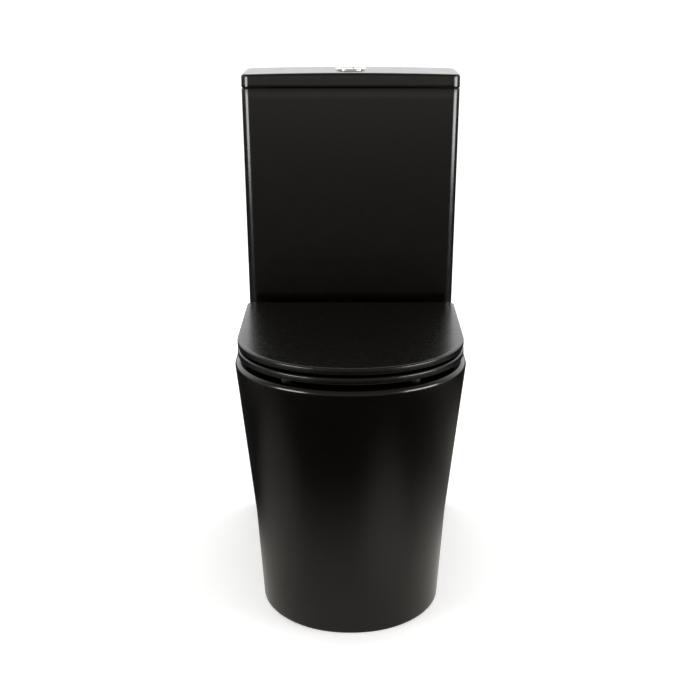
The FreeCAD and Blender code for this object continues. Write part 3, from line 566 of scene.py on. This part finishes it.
# The trap's middle line as (y, z) corners, the radius of its bends, and its radii inside and out.
TRAP_LINE = ((-20, 90), (50, 90), (128, 205), (215, 186), (240, 184))
TRAP_BEND = 60.0
TRAP_BORE = 33.0
TRAP_OUTSIDE = 43.0

# The outlet spigot: the height of its middle, its radius and run, and its bore, which flares at the mouth.
OUTLET_Z = 180.0
SPIGOT_R = 51.0
SPIGOT_Y = (222.0, 292.0)
SPIGOT_BORE = ((0, 230, 0), (44, 230, 0), (44, 290.6, 0), (45.5, 293, 0), (0, 293, 0))

# The shelf's openings as (radius, lowest, highest): the soft ring's seat, the flush inlet and the inlet tail.
RING_SEAT = (58.0, 391.0, SHELF + 1)
FLUSH_INLET = (36.0, 350.0, 393.0)
INLET_HOLE = (24.0, 360.0, SHELF + 1)

# The floor fixing's holes in each side: the cap's recess and the screw's hole.
CAP_RECESS_R = 10.0
CAP_RECESS = 5.5
SCREW_HOLE_R = 5.0

# Each pair of bolts: its node, a bolt's own radius at its widest, and its hole's radius in the shelf.
COUPLING_BOLT_R = 9.0
BOLT_HOLES = (("seat_bolts", 5.0, 7.0), ("coupling_bolts", COUPLING_BOLT_R, 6.0))
VALVE_Y = middle(span("flush_valve_base")[1])
INLET_X = middle(span("fill_valve_body")[0])


def through(values, share):
    """A smooth curve through evenly numbered values, read at fractional numbers.

    Between b and c, with a before and d after, it is the Catmull-Rom cubic
    (2 b + (c - a) t + (2 a - 5 b + 4 c - d) t^2 + (3 b - a - 3 c + d) t^3) / 2.
    """
    values = np.vstack([2 * values[0] - values[1], values, 2 * values[-1] - values[-2]])
    step = np.clip(share.astype(int), 0, len(values) - 4)
    t = (share - step)[:, None]
    a, b, c, d = (values[step + k] for k in range(4))
    cubic = (3 * b - a - 3 * c + d) * t ** 3
    return 0.5 * (2 * b + (c - a) * t + (2 * a - 5 * b + 4 * c - d) * t ** 2 + cubic)


def ovals(sections, count=144):
    """Level loops from (height, front, back, half width) rows. Each is widest 0.58 of the way back."""
    turn = np.linspace(0, 2 * np.pi, count, endpoint=False)
    z, front, back, half = (column[:, None] for column in np.asarray(sections, float).T)
    widest = front + 0.58 * (back - front)
    reach = np.where(np.sin(turn) > 0, back - widest, widest - front)
    return np.stack([half * np.cos(turn), widest + reach * np.sin(turn), z + 0 * turn], -1)


def mouth_row(z, out):
    """The bowl's mouth at a height, drawn out all round."""
    _, front, back, half = BOWL[0]
    return z, front - out, back + out, half + out


def bowl_solid(grow, top):
    """The bowl's form grown by its wall or not, rounded off into the sump, from rows that lead down to it."""
    inner = through(BOWL, np.linspace(0, len(BOWL) - 1, 49))
    inner += np.array([0.0, -grow, grow, grow])
    z, front, back, half = inner[-1]
    turn = np.radians(np.linspace(12, 84, 7))
    shrink = SUMP_ROUND * (1 - np.cos(turn))
    drop = (z - (SUMP - grow)) * np.sin(turn)
    sump = np.stack([z - drop, front + shrink, back - shrink, half - shrink], -1)
    return lofted(ovals(np.vstack([top, inner, sump])))


def outside_of_pan():
    """The shroud from its eased foot up the flank to the rounded rim, skinned over plan outlines."""
    foot_in, foot_up = quarter(FOOT_EDGE, 4)
    foot = [pan_loop(FOOT_EDGE - up, inset) for inset, up in zip(foot_in[::-1], foot_up[::-1])]
    flank = [pan_loop(z) for z in np.linspace(8.0, SHELF - RIM_EDGE, 40)]
    rim_in, rim_up = quarter(RIM_EDGE, 10)
    rim = [pan_loop(SHELF - RIM_EDGE + up, inset) for inset, up in zip(rim_in[1:], rim_up[1:])]
    return lofted(np.array(foot + flank + rim))


def inside_of_shroud():
    """What the shroud leaves open behind and below: its form drawn in by the wall, with a coved ceiling."""
    spring = CEILING - CEILING_COVE
    cove_in, cove_up = quarter(CEILING_COVE, 5, 80)
    hollow = [pan_loop(z, WALL, PAST_BACK) for z in np.linspace(-5.0, spring, 20)]
    hollow += [pan_loop(spring + up, WALL + inset, PAST_BACK) for inset, up in zip(cove_in, cove_up)]
    under_shelf = brick((-158.0, 158.0), (97.0, PAST_BACK), (CEILING - 30.0, SHELF - SHELF_THICKNESS), 8.0)
    return [lofted(np.array(hollow)), under_shelf]


def fixing_holes():
    """Holes for the seat's and the cistern's bolts in the shelf, and for the floor screws in the sides."""
    holes = []
    for node, bolt_radius, radius in BOLT_HOLES:
        reach = span(node)[0][1] - bolt_radius
        y = middle(span(node)[1])
        holes += [pin(radius, 360.0, SHELF + 1, (side * reach, y, 0)) for side in (-1, 1)]
    cap_x = span("side_caps")[0][1]
    centre = (0, middle(span("side_caps")[1]), middle(span("side_caps")[2]))
    for side in (-1, 1):
        recess = sorted((side * (cap_x - CAP_RECESS), side * (cap_x + 10)))
        screw = sorted((side * 140.0, side * (cap_x - 3)))
        holes.append(pin(CAP_RECESS_R, *recess, centre, "x"))
        holes.append(pin(SCREW_HOLE_R, *screw, centre, "x"))
    return holes


def make_pan():
    """The whole casting: the shrouded outside with its rim and shelf, the bowl, the trap and the outlet."""
    trap = np.array(bent_line(TRAP_LINE, TRAP_BEND))
    trap = np.column_stack([np.zeros(len(trap)), trap])
    outlet = middle(span("trapway")[0]), 0.0, OUTLET_Z
    duct_half = DUCT_HALF + DUCT_WALL
    duct_z = (DUCT_Z[0] - DUCT_WALL, SHELF - 12.0)
    flush_centre = (0, VALVE_Y, 0)
    add = [
        bowl_solid(BOWL_WALL, [mouth_row(z, BOWL_WALL) for z in (SHELF - 6.0, BOWL_WALL_TOP)]),
        hose(trap, TRAP_OUTSIDE),
        pin(SPIGOT_R, *SPIGOT_Y, outlet, "y", edge=2.0, count=96),
        brick((-duct_half, duct_half), (50.0, 278.0), duct_z, 8.0, 5),
    ]
    cut = [
        bowl_solid(0.0, [mouth_row(SHELF + up, out) for out, up in MOUTH_ROUND]),
        hose(trap, TRAP_BORE),
        spun(eased(SPIGOT_BORE), outlet, "y", 96),
        brick((-DUCT_HALF, DUCT_HALF), (40.0, 266.0), DUCT_Z, 6.0, 5),
        pin(*RING_SEAT, flush_centre, edge=2.0, count=96),
        pin(*FLUSH_INLET, flush_centre, count=80),
        pin(*INLET_HOLE, (INLET_X, VALVE_Y, 0), count=64),
        *fixing_holes(),
    ]
    hollow = inside_of_shroud()
    casting = carved("pan", outside_of_pan(), ("DIFFERENCE", hollow), ("UNION", add), ("DIFFERENCE", cut))
    piece(casting, "toilet", "glazed_ceramic", "pan", "bowl", "trapway")


# ---- cistern ------------------------------------------------------------------------------------------
TANK = span("cistern_tank")
LID = span("cistern_lid")
TANK_FOOT_FRONT = 156.0
TANK_FOOT_HALF = 177.4
TANK_CORNER = 15.0
TANK_WALL = 10.0
TANK_FLOOR = 12.0
TANK_FOOT_EDGE = 5.0
TANK_RIM_EDGE = 2.5
TANK_COVE = 9.0

# Radii of the holes in the cistern's floor.
VALVE_TAIL_HOLE = 33.0
INLET_TAIL_HOLE = 11.5
TANK_BOLT_HOLE = 5.0


def tank_loop(z, inset):
    """The cistern's plan outline at a height, drawn in by an inset.

    The front and sides lean out as they rise: each place runs evenly from the foot to the rim.
    """
    rise = (z - TANK[2][0]) / (TANK[2][1] - TANK[2][0])
    half = TANK_FOOT_HALF + (TANK[0][1] - TANK_FOOT_HALF) * rise - inset
    front = TANK_FOOT_FRONT + (TANK[1][0] - TANK_FOOT_FRONT) * rise + inset
    corner = max(TANK_CORNER - inset, 4.0)
    return rounded_rectangle(half, front, TANK[1][1] - inset, corner, z, steps=14, run=10)


def make_cistern_tank():
    """The open cistern: rounded foot, leaning walls, flat rim with eased edges, and a coved floor inside."""
    low, high = TANK[2]
    edge_in, edge_up = quarter(TANK_FOOT_EDGE, 6)
    rows = [tank_loop(low + TANK_FOOT_EDGE - up, inset) for inset, up in zip(edge_in[::-1], edge_up[::-1])]
    rim = high - TANK_RIM_EDGE
    rows += [tank_loop(z, 0.0) for z in np.linspace(low + 14, rim, 24)]
    edge_in, edge_up = quarter(TANK_RIM_EDGE, 5)
    rows += [tank_loop(rim + up, inset) for inset, up in zip(edge_in[1:], edge_up[1:])]
    rows += [tank_loop(rim + up, TANK_WALL - inset) for inset, up in zip(edge_in[::-1], edge_up[::-1])]
    floor = low + TANK_FLOOR
    cove_in, cove_up = quarter(TANK_COVE, 6)
    rows += [tank_loop(z, TANK_WALL) for z in np.linspace(high - 20, floor + 18, 16)]
    rows += [tank_loop(floor + TANK_COVE - up, TANK_WALL + inset) for inset, up in zip(cove_in, cove_up)]

    through_floor = (low - 1, floor + 1)
    reach = span("coupling_bolts")[0][1] - COUPLING_BOLT_R
    cut = [
        pin(VALVE_TAIL_HOLE, *through_floor, (0, VALVE_Y, 0), count=80),
        pin(INLET_TAIL_HOLE, *through_floor, (INLET_X, VALVE_Y, 0), count=64),
        pin(TANK_BOLT_HOLE, *through_floor, (-reach, VALVE_Y, 0)),
        pin(TANK_BOLT_HOLE, *through_floor, (reach, VALVE_Y, 0)),
    ]
    tank = carved("cistern_tank", lofted(np.array(rows)), ("DIFFERENCE", cut))
    piece(tank, "toilet", "glazed_ceramic", "cistern_tank")


BUTTON_Y = middle(span("button_bezel")[1])
BUTTON_HOLE = 24.5
LID_CROWN = 2.8
LID_FOOT_EDGE = 1.8
LID_TOP_EDGE = 3.5

# The lid's underside as (inset, height over its foot, corner radius): the pocket's ceiling, then the lip.
LID_UNDERSIDE = ((26.0, 12.0, 34.0), (22.6, 10.5, 34.0), (22.0, 7.0, 32.0), (22.0, -8.0, 32.0),
                 (21.0, -9.0, 32.0), (16.0, -9.0, 28.0), (15.0, -8.0, 28.0), (15.0, -0.6, 28.0),
                 (14.4, 0.0, 28.0))


def crown(x):
    """Height of the cistern lid's top: a very flat arch from side to side, top - r + sqrt(r^2 - x^2)."""
    radius = LID[0][1] ** 2 / (2 * LID_CROWN)
    top = LID[2][1]
    return top - radius + np.sqrt(radius ** 2 - x ** 2)


def make_cistern_lid():
    """The lid slab: eased edges, an arched top, the button's hole, a pocket beneath and a locating lip."""
    half, front, back = LID[0][1], LID[1][0], LID[1][1]
    foot = TANK[2][1]

    def at_height(line, z, up):
        """A plan line put at a height, or on the arched top where there is none."""
        line[:, 2] = crown(line[:, 0]) + up if z is None else z
        return line

    def loop(inset, z=None, up=0.0, corner=TANK_CORNER):
        """The lid's plan outline, drawn in by an inset."""
        corner = max(corner - inset, 3.0)
        line = rounded_rectangle(half - inset, front + inset, back - inset, corner, 0.0, steps=12, run=14)
        return at_height(line, z, up)

    def ring(radius, z=None, up=0.0):
        """A circle round the button, with its points in line with the lid's outline."""
        line = loop(0.0, 0.0)
        turn = np.arctan2(line[:, 1] - BUTTON_Y, line[:, 0])
        line = np.stack([radius * np.cos(turn), BUTTON_Y + radius * np.sin(turn), 0 * turn], -1)
        return at_height(line, z, up)

    edge_in, edge_up = quarter(LID_FOOT_EDGE, 4)
    rows = [loop(inset, foot + LID_FOOT_EDGE - up) for inset, up in zip(edge_in[::-1], edge_up[::-1])]
    rows += [loop(0.0, foot + z) for z in (6.0, 11.0, 16.0)]
    edge_in, edge_up = quarter(LID_TOP_EDGE, 7)
    rows += [loop(inset, up=up - LID_TOP_EDGE) for inset, up in zip(edge_in, edge_up)]
    outer, inner = loop(LID_TOP_EDGE), ring(BUTTON_HOLE + 0.5)
    for share in np.linspace(0, 1, 16)[1:]:
        row = outer + (inner - outer) * share
        row[:, 2] = crown(row[:, 0])
        rows.append(row)
    ceiling = foot + LID_UNDERSIDE[0][1]
    rows += [ring(BUTTON_HOLE, up=-0.5), ring(BUTTON_HOLE, ceiling + 0.5), ring(BUTTON_HOLE + 0.5, ceiling)]
    rows += [loop(inset, foot + z, corner=corner) for inset, z, corner in LID_UNDERSIDE]
    mesh = Surface().sheet(np.array(rows), closed=True).mesh("cistern_lid")
    piece(mesh, "cistern_lid", "glazed_ceramic", "cistern_lid")


# ---- seat ---------------------------------------------------------------------------------------------
SEAT_HALF = 178.5
SEAT_WIDEST = WIDEST[1]
SEAT_OPENING = {"front": -236.0, "back": 46.0, "widest": -78.0, "half": 117.0}
RING_BACK = 101.0
COVER_BACK = span("seat_lid")[1][1]
COVER_TOP = span("seat_lid")[2][1]
COVER_FOOT = 428.4
RING_FOOT = span("ring_bumpers")[2][1]
RING_TOP = span("cover_bumpers")[2][0]
HINGE_Y = middle(span("hinge_pins")[1])
HINGE_Z = middle(span("hinge_pins")[2])
KNUCKLE = 8.0
PIN_BORE = 4.05

# How far from the middle each panel's knuckles start and end.
RING_KNUCKLES = (88.0, 100.0)
COVER_KNUCKLES = (55.0, 67.0)

RING_CORNER = 12.0
RING_FOOT_EDGE = 1.5
RING_TOP_EDGE = 3.0
OPENING_EDGE = 5.0
COVER_CORNER = 10.0
COVER_FOOT_EDGE = 1.2
COVER_TOP_EDGE = 3.0

# The cover's recess as (depth, inset), from its middle out to its border.
COVER_RECESS = ((1.2, 62.0), (1.15, 57.0), (0.6, 54.0), (0.05, 51.0))


def seat_loop(z, inset, back, corner, nose=120, sides=20, turns=10, across=20):
    """The seat's plan outline at a height, drawn in by an inset.

    In front it is a superellipse, half width times cos t and reach times sin t, each raised to 2 / roundness.
    Straight sides follow, then small quarter circles and a straight back.
    """
    half = SEAT_HALF - inset
    front = FRONT + inset
    back = back - inset
    corner = max(corner - inset, 1.0)
    turn = np.linspace(0, np.pi, nose + 1)
    power = 2 / ROUNDNESS[1]
    cosine = np.cos(turn)
    bow_line = np.stack([half * np.sign(cosine) * np.abs(cosine) ** power,
                         SEAT_WIDEST + (front - SEAT_WIDEST) * np.sin(turn).clip(0) ** power], -1)
    share = np.linspace(0, 1, sides + 1)[1:-1, None]
    side = np.array([-half, SEAT_WIDEST]) + share * np.array([0.0, back - corner - SEAT_WIDEST])
    swing = np.radians(np.linspace(180, 90, turns + 1))
    arc = np.stack([corner - half + corner * np.cos(swing), back - corner + corner * np.sin(swing)], -1)
    along = np.linspace(corner - half, half - corner, across + 1)[1:-1]
    behind = np.stack([along, np.full(len(along), back)], -1)
    mirrored = [(part * [-1, 1])[::-1] for part in (arc, side)]
    line = np.vstack([bow_line, side, arc, behind, *mirrored])
    return np.column_stack([line, np.full(len(line), z)])


def opening_loop(outline, z, grow):
    """The seat opening's oval, grown by an amount, with its points in line with an outline's.

    Its radius towards a direction t is 1 / sqrt((cos t / half)^2 + (sin t / reach)^2).
    """
    middle_y = SEAT_OPENING["widest"]
    turn = np.arctan2(outline[:, 1] - middle_y, outline[:, 0])
    half = SEAT_OPENING["half"] + grow
    behind, ahead = SEAT_OPENING["back"] - middle_y, middle_y - SEAT_OPENING["front"]
    reach = np.where(np.sin(turn) > 0, behind, ahead) + grow
    radius = 1 / np.sqrt((np.cos(turn) / half) ** 2 + (np.sin(turn) / reach) ** 2)
    return np.stack([radius * np.cos(turn), middle_y + radius * np.sin(turn), np.full(len(turn), z)], -1)


def hinge_ears(x, web):
    """The two knuckles of a panel on the hinge line, each with the web that joins it, and their pin bores."""
    add, cut = [], []
    for side in (-1, 1):
        ends = sorted((side * x[0], side * x[1]))
        centre = (0, HINGE_Y, HINGE_Z)
        add.append(pin(KNUCKLE, *ends, centre, "x", edge=0.8))
        add.append(brick(ends, *web, 1.0))
        cut.append(pin(PIN_BORE, ends[0] - 1, ends[1] + 1, centre, "x", edge=0.1))
    return ("UNION", add), ("DIFFERENCE", cut)


def make_seat_ring():
    """The seat: a flat ring with a bow in front, eased outside and generously rounded into the opening."""
    def outer(z, inset):
        return seat_loop(z, inset, RING_BACK, RING_CORNER)

    plan = outer(0.0, 0.0)
    low = RING_FOOT + RING_FOOT_EDGE
    low_in, low_up = quarter(RING_FOOT_EDGE, 4)
    high_in, high_up = quarter(RING_TOP_EDGE, 6)
    rows = [outer(low - up, inset) for inset, up in zip(low_in[::-1], low_up[::-1])]
    rows += [outer(RING_TOP - RING_TOP_EDGE + up, inset) for inset, up in zip(high_in, high_up)]
    rim, mouth = outer(RING_TOP, RING_TOP_EDGE), opening_loop(plan, RING_TOP, OPENING_EDGE)
    rows += [rim + (mouth - rim) * share for share in np.linspace(0, 1, 12)[1:-1]]
    inner_in, inner_up = quarter(OPENING_EDGE, 7)
    top = RING_TOP - OPENING_EDGE
    rows += [opening_loop(plan, top + up, inset) for inset, up in zip(inner_in[::-1], inner_up[::-1])]
    rows += [opening_loop(plan, low - up, inset) for inset, up in zip(low_in, low_up)]
    mouth, rim = opening_loop(plan, RING_FOOT, RING_FOOT_EDGE), outer(RING_FOOT, RING_FOOT_EDGE)
    rows += [mouth + (rim - mouth) * share for share in np.linspace(0, 1, 10)[1:-1]]
    slab = Surface().sheet(np.array(rows), closed=True)
    web = (RING_BACK - 5, HINGE_Y), (RING_FOOT + 0.5, HINGE_Z + 3.5)
    ring = carved("seat_ring", slab, *hinge_ears(RING_KNUCKLES, web))
    piece(ring, "seat_ring", "black_duroplast", "seat_ring")


def make_seat_lid():
    """The cover: a slim flat panel with eased edges and a shallow recess beneath."""
    def outer(z, inset):
        return seat_loop(z, inset, COVER_BACK, COVER_CORNER)

    low_in, low_up = quarter(COVER_FOOT_EDGE, 4)
    high_in, high_up = quarter(COVER_TOP_EDGE, 7)
    low, high = COVER_FOOT + COVER_FOOT_EDGE, COVER_TOP - COVER_TOP_EDGE
    rows = [outer(COVER_FOOT + deep, inset) for deep, inset in COVER_RECESS]
    rows += [outer(COVER_FOOT, inset) for inset in (44.0, 30.0, 16.0, 6.0)]
    rows += [outer(low - up, inset) for inset, up in zip(low_in[::-1], low_up[::-1])]
    rows += [outer(high + up, inset) for inset, up in zip(high_in, high_up)]
    rows += [outer(COVER_TOP, inset) for inset in (8.0, 20.0, 40.0, 62.0)]
    web = (HINGE_Y - KNUCKLE, HINGE_Y + KNUCKLE), (HINGE_Z, COVER_FOOT + 1.5)
    lid = carved("seat_lid", lofted(np.array(rows)), *hinge_ears(COVER_KNUCKLES, web))
    piece(lid, "seat_lid", "black_duroplast", "seat_lid")


# ---- flush buttons ------------------------------------------------------------------------------------
BEZEL_TOP = span("button_bezel")[2][1]
BEZEL_R = span("button_bezel")[0][1]
WELL_R = 22.0
BUTTON_GAP = 0.5
BUTTON_EDGE = 1.0

# The sunk face of a button half as (depth, inset) steps from its edge.
BUTTON_DISH = ((0.08, 2.0), (0.25, 3.5), (0.4, 5.5), (0.45, 7.5))

SPRING_WIRE = 0.5
SPRING_TURNS = 6.0


def make_button_bezel():
    """The chrome surround: a turned ring with a flat land and softly rounded edges."""
    foot = span("button_bezel")[2][0] - 2.6
    corners = (WELL_R, foot, 0), (BEZEL_R, foot, 0), (BEZEL_R, BEZEL_TOP, 1.4), (WELL_R, BEZEL_TOP, 0.7)
    bezel = spun(eased(corners, 6), (0, BUTTON_Y, 0), count=128)
    piece(bezel.mesh("button_bezel"), "cistern_lid", "chrome_plate", "button_bezel")


def make_flush_button(name, side):
    """One part of the button: a disc cut by a straight line on a side, with eased edges and a sunk face."""
    (low_x, high_x), _, (foot, top) = span(name)
    near = low_x if side > 0 else high_x
    radius = WELL_R - BUTTON_GAP

    def loop(z, inset):
        """The part disc's outline at a height, drawn in by an inset: an arc and the line that closes it."""
        reach = radius - inset
        line_x = near + side * inset
        limit = math.acos(line_x / reach) if side > 0 else math.pi - math.acos(line_x / reach)
        turn = np.linspace(-limit, limit, 73)
        arc = np.stack([side * reach * np.cos(turn), side * reach * np.sin(turn)], -1)
        share = np.linspace(0, 1, 15)[1:-1, None]
        chord = arc[-1] + (arc[0] - arc[-1]) * share
        line = np.vstack([arc, chord])
        return np.column_stack([line[:, 0], line[:, 1] + BUTTON_Y, np.full(len(line), z)])

    edge_in, edge_up = quarter(BUTTON_EDGE, 5)
    rows = [loop(foot, 0.6), loop(foot + 0.6, 0.0)]
    rows += [loop(top - BUTTON_EDGE + up, inset) for inset, up in zip(edge_in, edge_up)]
    rows += [loop(top - sunk, inset) for sunk, inset in BUTTON_DISH]
    piece(lofted(np.array(rows)).mesh(name), name, "chrome_plate", name)


def make_button_spring(name):
    """A compression spring: a round wire along a helix that closes up at both ends.

    Its height follows t - 0.06 sin(2 pi t) while it turns evenly with t.
    """
    (low_x, high_x), _, (foot, top) = span(name)
    share = np.linspace(0, 1, 200)
    lift = share - 0.06 * np.sin(2 * np.pi * share)
    angle = 2 * np.pi * SPRING_TURNS * share
    coil = (high_x - low_x) / 2 - SPRING_WIRE
    rise = top - foot - 2 * SPRING_WIRE
    path = np.stack([middle((low_x, high_x)) + coil * np.cos(angle), BUTTON_Y + coil * np.sin(angle),
                     foot + SPRING_WIRE + rise * lift], -1)
    spring = piece(hose(path, SPRING_WIRE, 12).mesh(name), "cistern_lid", "stainless_steel", name)
    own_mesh(spring)


make_pan()
make_cistern_tank()
make_cistern_lid()
make_seat_ring()
make_seat_lid()
make_button_bezel()
make_flush_button("full_flush_button", -1)
make_flush_button("half_flush_button", 1)
make_button_spring("full_flush_spring")
make_button_spring("half_flush_spring")


# ---- every CAD node takes its slot's finish ------------------------------------------------------------
for part in frame["record"]["subparts"]:
    node = frame["nodes"][part["node"]]
    node.data.materials.clear()
    node.data.materials.append(FINISHES[part["material_slot"]])


# ---- studio -------------------------------------------------------------------------------------------
WARM = (1.0, 0.96, 0.88, 1.0)
WHITE = (1.0, 1.0, 1.0, 1.0)
FLOOR_REACH = 40000.0


def glow(name, place, aim, size, radiance, lamp_only=False):
    """A rectangular soft light that faces a point, unseen by the camera. A lamp only isn't in the gloss.

    Its power is radiance times pi times its area, so that a wider light is as bright to look at.
    """
    lamp = bpy.data.lights.new(name, "AREA")
    lamp.shape = "RECTANGLE"
    lamp.size, lamp.size_y = size
    lamp.energy = radiance * math.pi * size[0] * size[1]
    thing = bpy.data.objects.new(name, lamp)
    bpy.context.scene.collection.objects.link(thing)
    thing.location = place
    direction = Vector(aim) - Vector(place)
    thing.rotation_euler = direction.to_track_quat("-Z", "Y").to_euler()
    thing.visible_camera = False
    thing.visible_glossy = not lamp_only


def distance_from(finish, place):
    """How far a surface point lies from a material's origin, in the units of the given coordinates."""
    distance = finish.nodes.new("ShaderNodeVectorMath")
    distance.operation = "LENGTH"
    finish.links.new(place, distance.inputs[0])
    return distance.outputs["Value"]


def make_floor():
    """A plain pale floor that takes a soft shadow round the foot and runs out to white."""
    corners = np.array([(-1, -1, 0), (1, -1, 0), (1, 1, 0), (-1, 1, 0)])
    floor = object_of(Surface().face(FLOOR_REACH * corners).mesh("floor"))
    finish = Finish("pale_floor")
    finish.colour(finish.noise(0.7), (0.90, 0.90, 0.90), (0.92, 0.92, 0.92))
    finish.roughness(finish.noise(4.0), 0.85, 0.95)
    finish.shader.inputs["Emission Color"].default_value = WHITE
    run_out = finish.between(distance_from(finish, finish.place), 0.30, 0.62, 0.5, 2.2)
    finish.links.new(run_out, finish.shader.inputs["Emission Strength"])
    floor.data.materials.append(finish.material)
    floor.visible_glossy = False


def bounce_card(name, centre, reach, strength, height):
    """A soft-edged patch of light just over the floor, an ellipse that only the gloss of the object shows.

    Its strength falls along a smooth step from a fifth of its reach out to its edge. Centre and reach are in
    metres. The height is in millimetres, and keeps patches that cross apart.
    """
    turn = np.linspace(0, 2 * np.pi, 64, endpoint=False)
    flat = np.stack([reach[0] * np.cos(turn), reach[1] * np.sin(turn), 0 * turn], -1) / MM
    card = object_of(Surface().face(flat).mesh(name))
    card.location = (*centre, height * MM)
    finish = Finish(name)
    away = distance_from(finish, finish.stretched((1 / reach[0], 1 / reach[1], 1.0)))
    fade = finish.between(away, strength, 0.0, 0.2, 1.0)
    fade.node.interpolation_type = "SMOOTHSTEP"
    emission = finish.nodes.new("ShaderNodeEmission")
    emission.inputs["Color"].default_value = WARM
    finish.links.new(fade, emission.inputs["Strength"])
    clear = finish.nodes.new("ShaderNodeBsdfTransparent")
    both = finish.nodes.new("ShaderNodeAddShader")
    finish.links.new(emission.outputs[0], both.inputs[0])
    finish.links.new(clear.outputs[0], both.inputs[1])
    finish.links.new(both.outputs[0], finish.nodes["Material Output"].inputs["Surface"])
    card.data.materials.append(finish.material)
    for kind in ("camera", "diffuse", "transmission", "volume_scatter", "shadow"):
        setattr(card, "visible_" + kind, False)


def make_world():
    """White to the eye. In the gloss the back is white above the horizon, and the front a soft band at it."""
    world = bpy.data.worlds.new("studio")
    bpy.context.scene.world = world
    world.use_nodes = True
    nodes, links = world.node_tree.nodes, world.node_tree.links
    place = nodes.new("ShaderNodeTexCoord")
    parts = nodes.new("ShaderNodeSeparateXYZ")
    links.new(place.outputs["Generated"], parts.inputs[0])

    def profile(steps, low, high, tint=WHITE):
        """Brightness along the height or the depth of a direction, from (place, brightness) steps."""
        spread = nodes.new("ShaderNodeMapRange")
        spread.inputs["From Min"].default_value = low
        spread.inputs["From Max"].default_value = high
        ramp = nodes.new("ShaderNodeValToRGB")
        band = ramp.color_ramp.elements
        while len(band) < len(steps):
            band.new(0.5)
        for stop, (at, value) in zip(band, steps):
            stop.position = (at - low) / (high - low)
            stop.color = (value * tint[0], value * tint[1], value * tint[2], 1.0)
        links.new(spread.outputs["Result"], ramp.inputs["Fac"])
        return spread.inputs["Value"], ramp.outputs["Color"]

    def blend(factor, first, second):
        """One tone, or white where there is none, laid over another by a factor."""
        mix = nodes.new("ShaderNodeMix")
        mix.data_type = "RGBA"
        links.new(factor, mix.inputs["Factor"])
        links.new(first, mix.inputs["A"])
        if second is None:
            mix.inputs["B"].default_value = WHITE
        else:
            links.new(second, mix.inputs["B"])
        return mix.outputs["Result"]

    front = [(-0.32, 0.02), (-0.25, 0.10), (-0.174, 0.15), (-0.139, 0.22), (-0.105, 0.45), (-0.065, 0.95),
             (-0.02, 0.90), (0.04, 0.25), (0.10, 0.20), (0.20, 0.36), (0.30, 0.30)]
    behind = [(-0.32, 0.02), (-0.06, 0.03), (0.01, 1.25), (0.30, 1.25)]
    front_in, front_tone = profile(front, -0.35, 0.35, WARM)
    back_in, back_tone = profile(behind, -0.35, 0.35)
    side_in, side_tone = profile([(0.1, 0.0), (0.65, 1.0)], -0.8, 0.8)
    links.new(parts.outputs["Z"], front_in)
    links.new(parts.outputs["Z"], back_in)
    links.new(parts.outputs["Y"], side_in)
    path = nodes.new("ShaderNodeLightPath")
    tone = blend(path.outputs["Is Camera Ray"], blend(side_tone, front_tone, back_tone), None)
    links.new(tone, nodes["Background"].inputs["Color"])
    nodes["Background"].inputs["Strength"].default_value = 1.0


make_floor()
make_world()
bounce_card("apron", (0.03, -0.20), (0.66, 0.56), 0.49, 0.5)
bounce_card("left_card", (-0.56, -0.16), (0.42, 0.42), 0.23, 0.8)
bounce_card("right_card", (0.28, -0.50), (0.30, 0.30), 0.26, 1.1)
bounce_card("side_card", (0.42, 0.25), (0.60, 0.70), 0.15, 1.4)
bounce_card("far_left_card", (-1.5, 0.0), (0.9, 1.0), 0.14, 1.7)
bounce_card("far_right_card", (1.5, 0.0), (0.9, 1.0), 0.16, 2.0)
bounce_card("rear_card", (0.0, 1.7), (1.1, 1.0), 0.40, 2.3)
glow("softbox_left", (-1.82, -1.23, 0.56), (0, 0.0, 0.5), (1.2, 0.5), 13.0)
glow("softbox_right", (2.04, -0.82, 0.56), (0, 0.0, 0.5), (1.5, 0.5), 13.0)
glow("overhead", (0.0, 0.0, 3.2), (0, 0, 0), (3.0, 3.0), 1.8, lamp_only=True)

camera_data = bpy.data.cameras.new("camera")
camera = bpy.data.objects.new("camera", camera_data)
bpy.context.scene.collection.objects.link(camera)
camera.location = (0.0, -2.34373, 1.0136)
camera.rotation_euler = (math.radians(90 - 15.0), 0.0, 0.0)
camera_data.sensor_width = 36.0
camera_data.lens = 75.08
camera_data.shift_x = -0.0009
bpy.context.scene.camera = camera
bpy.context.scene.view_settings.view_transform = "Standard"
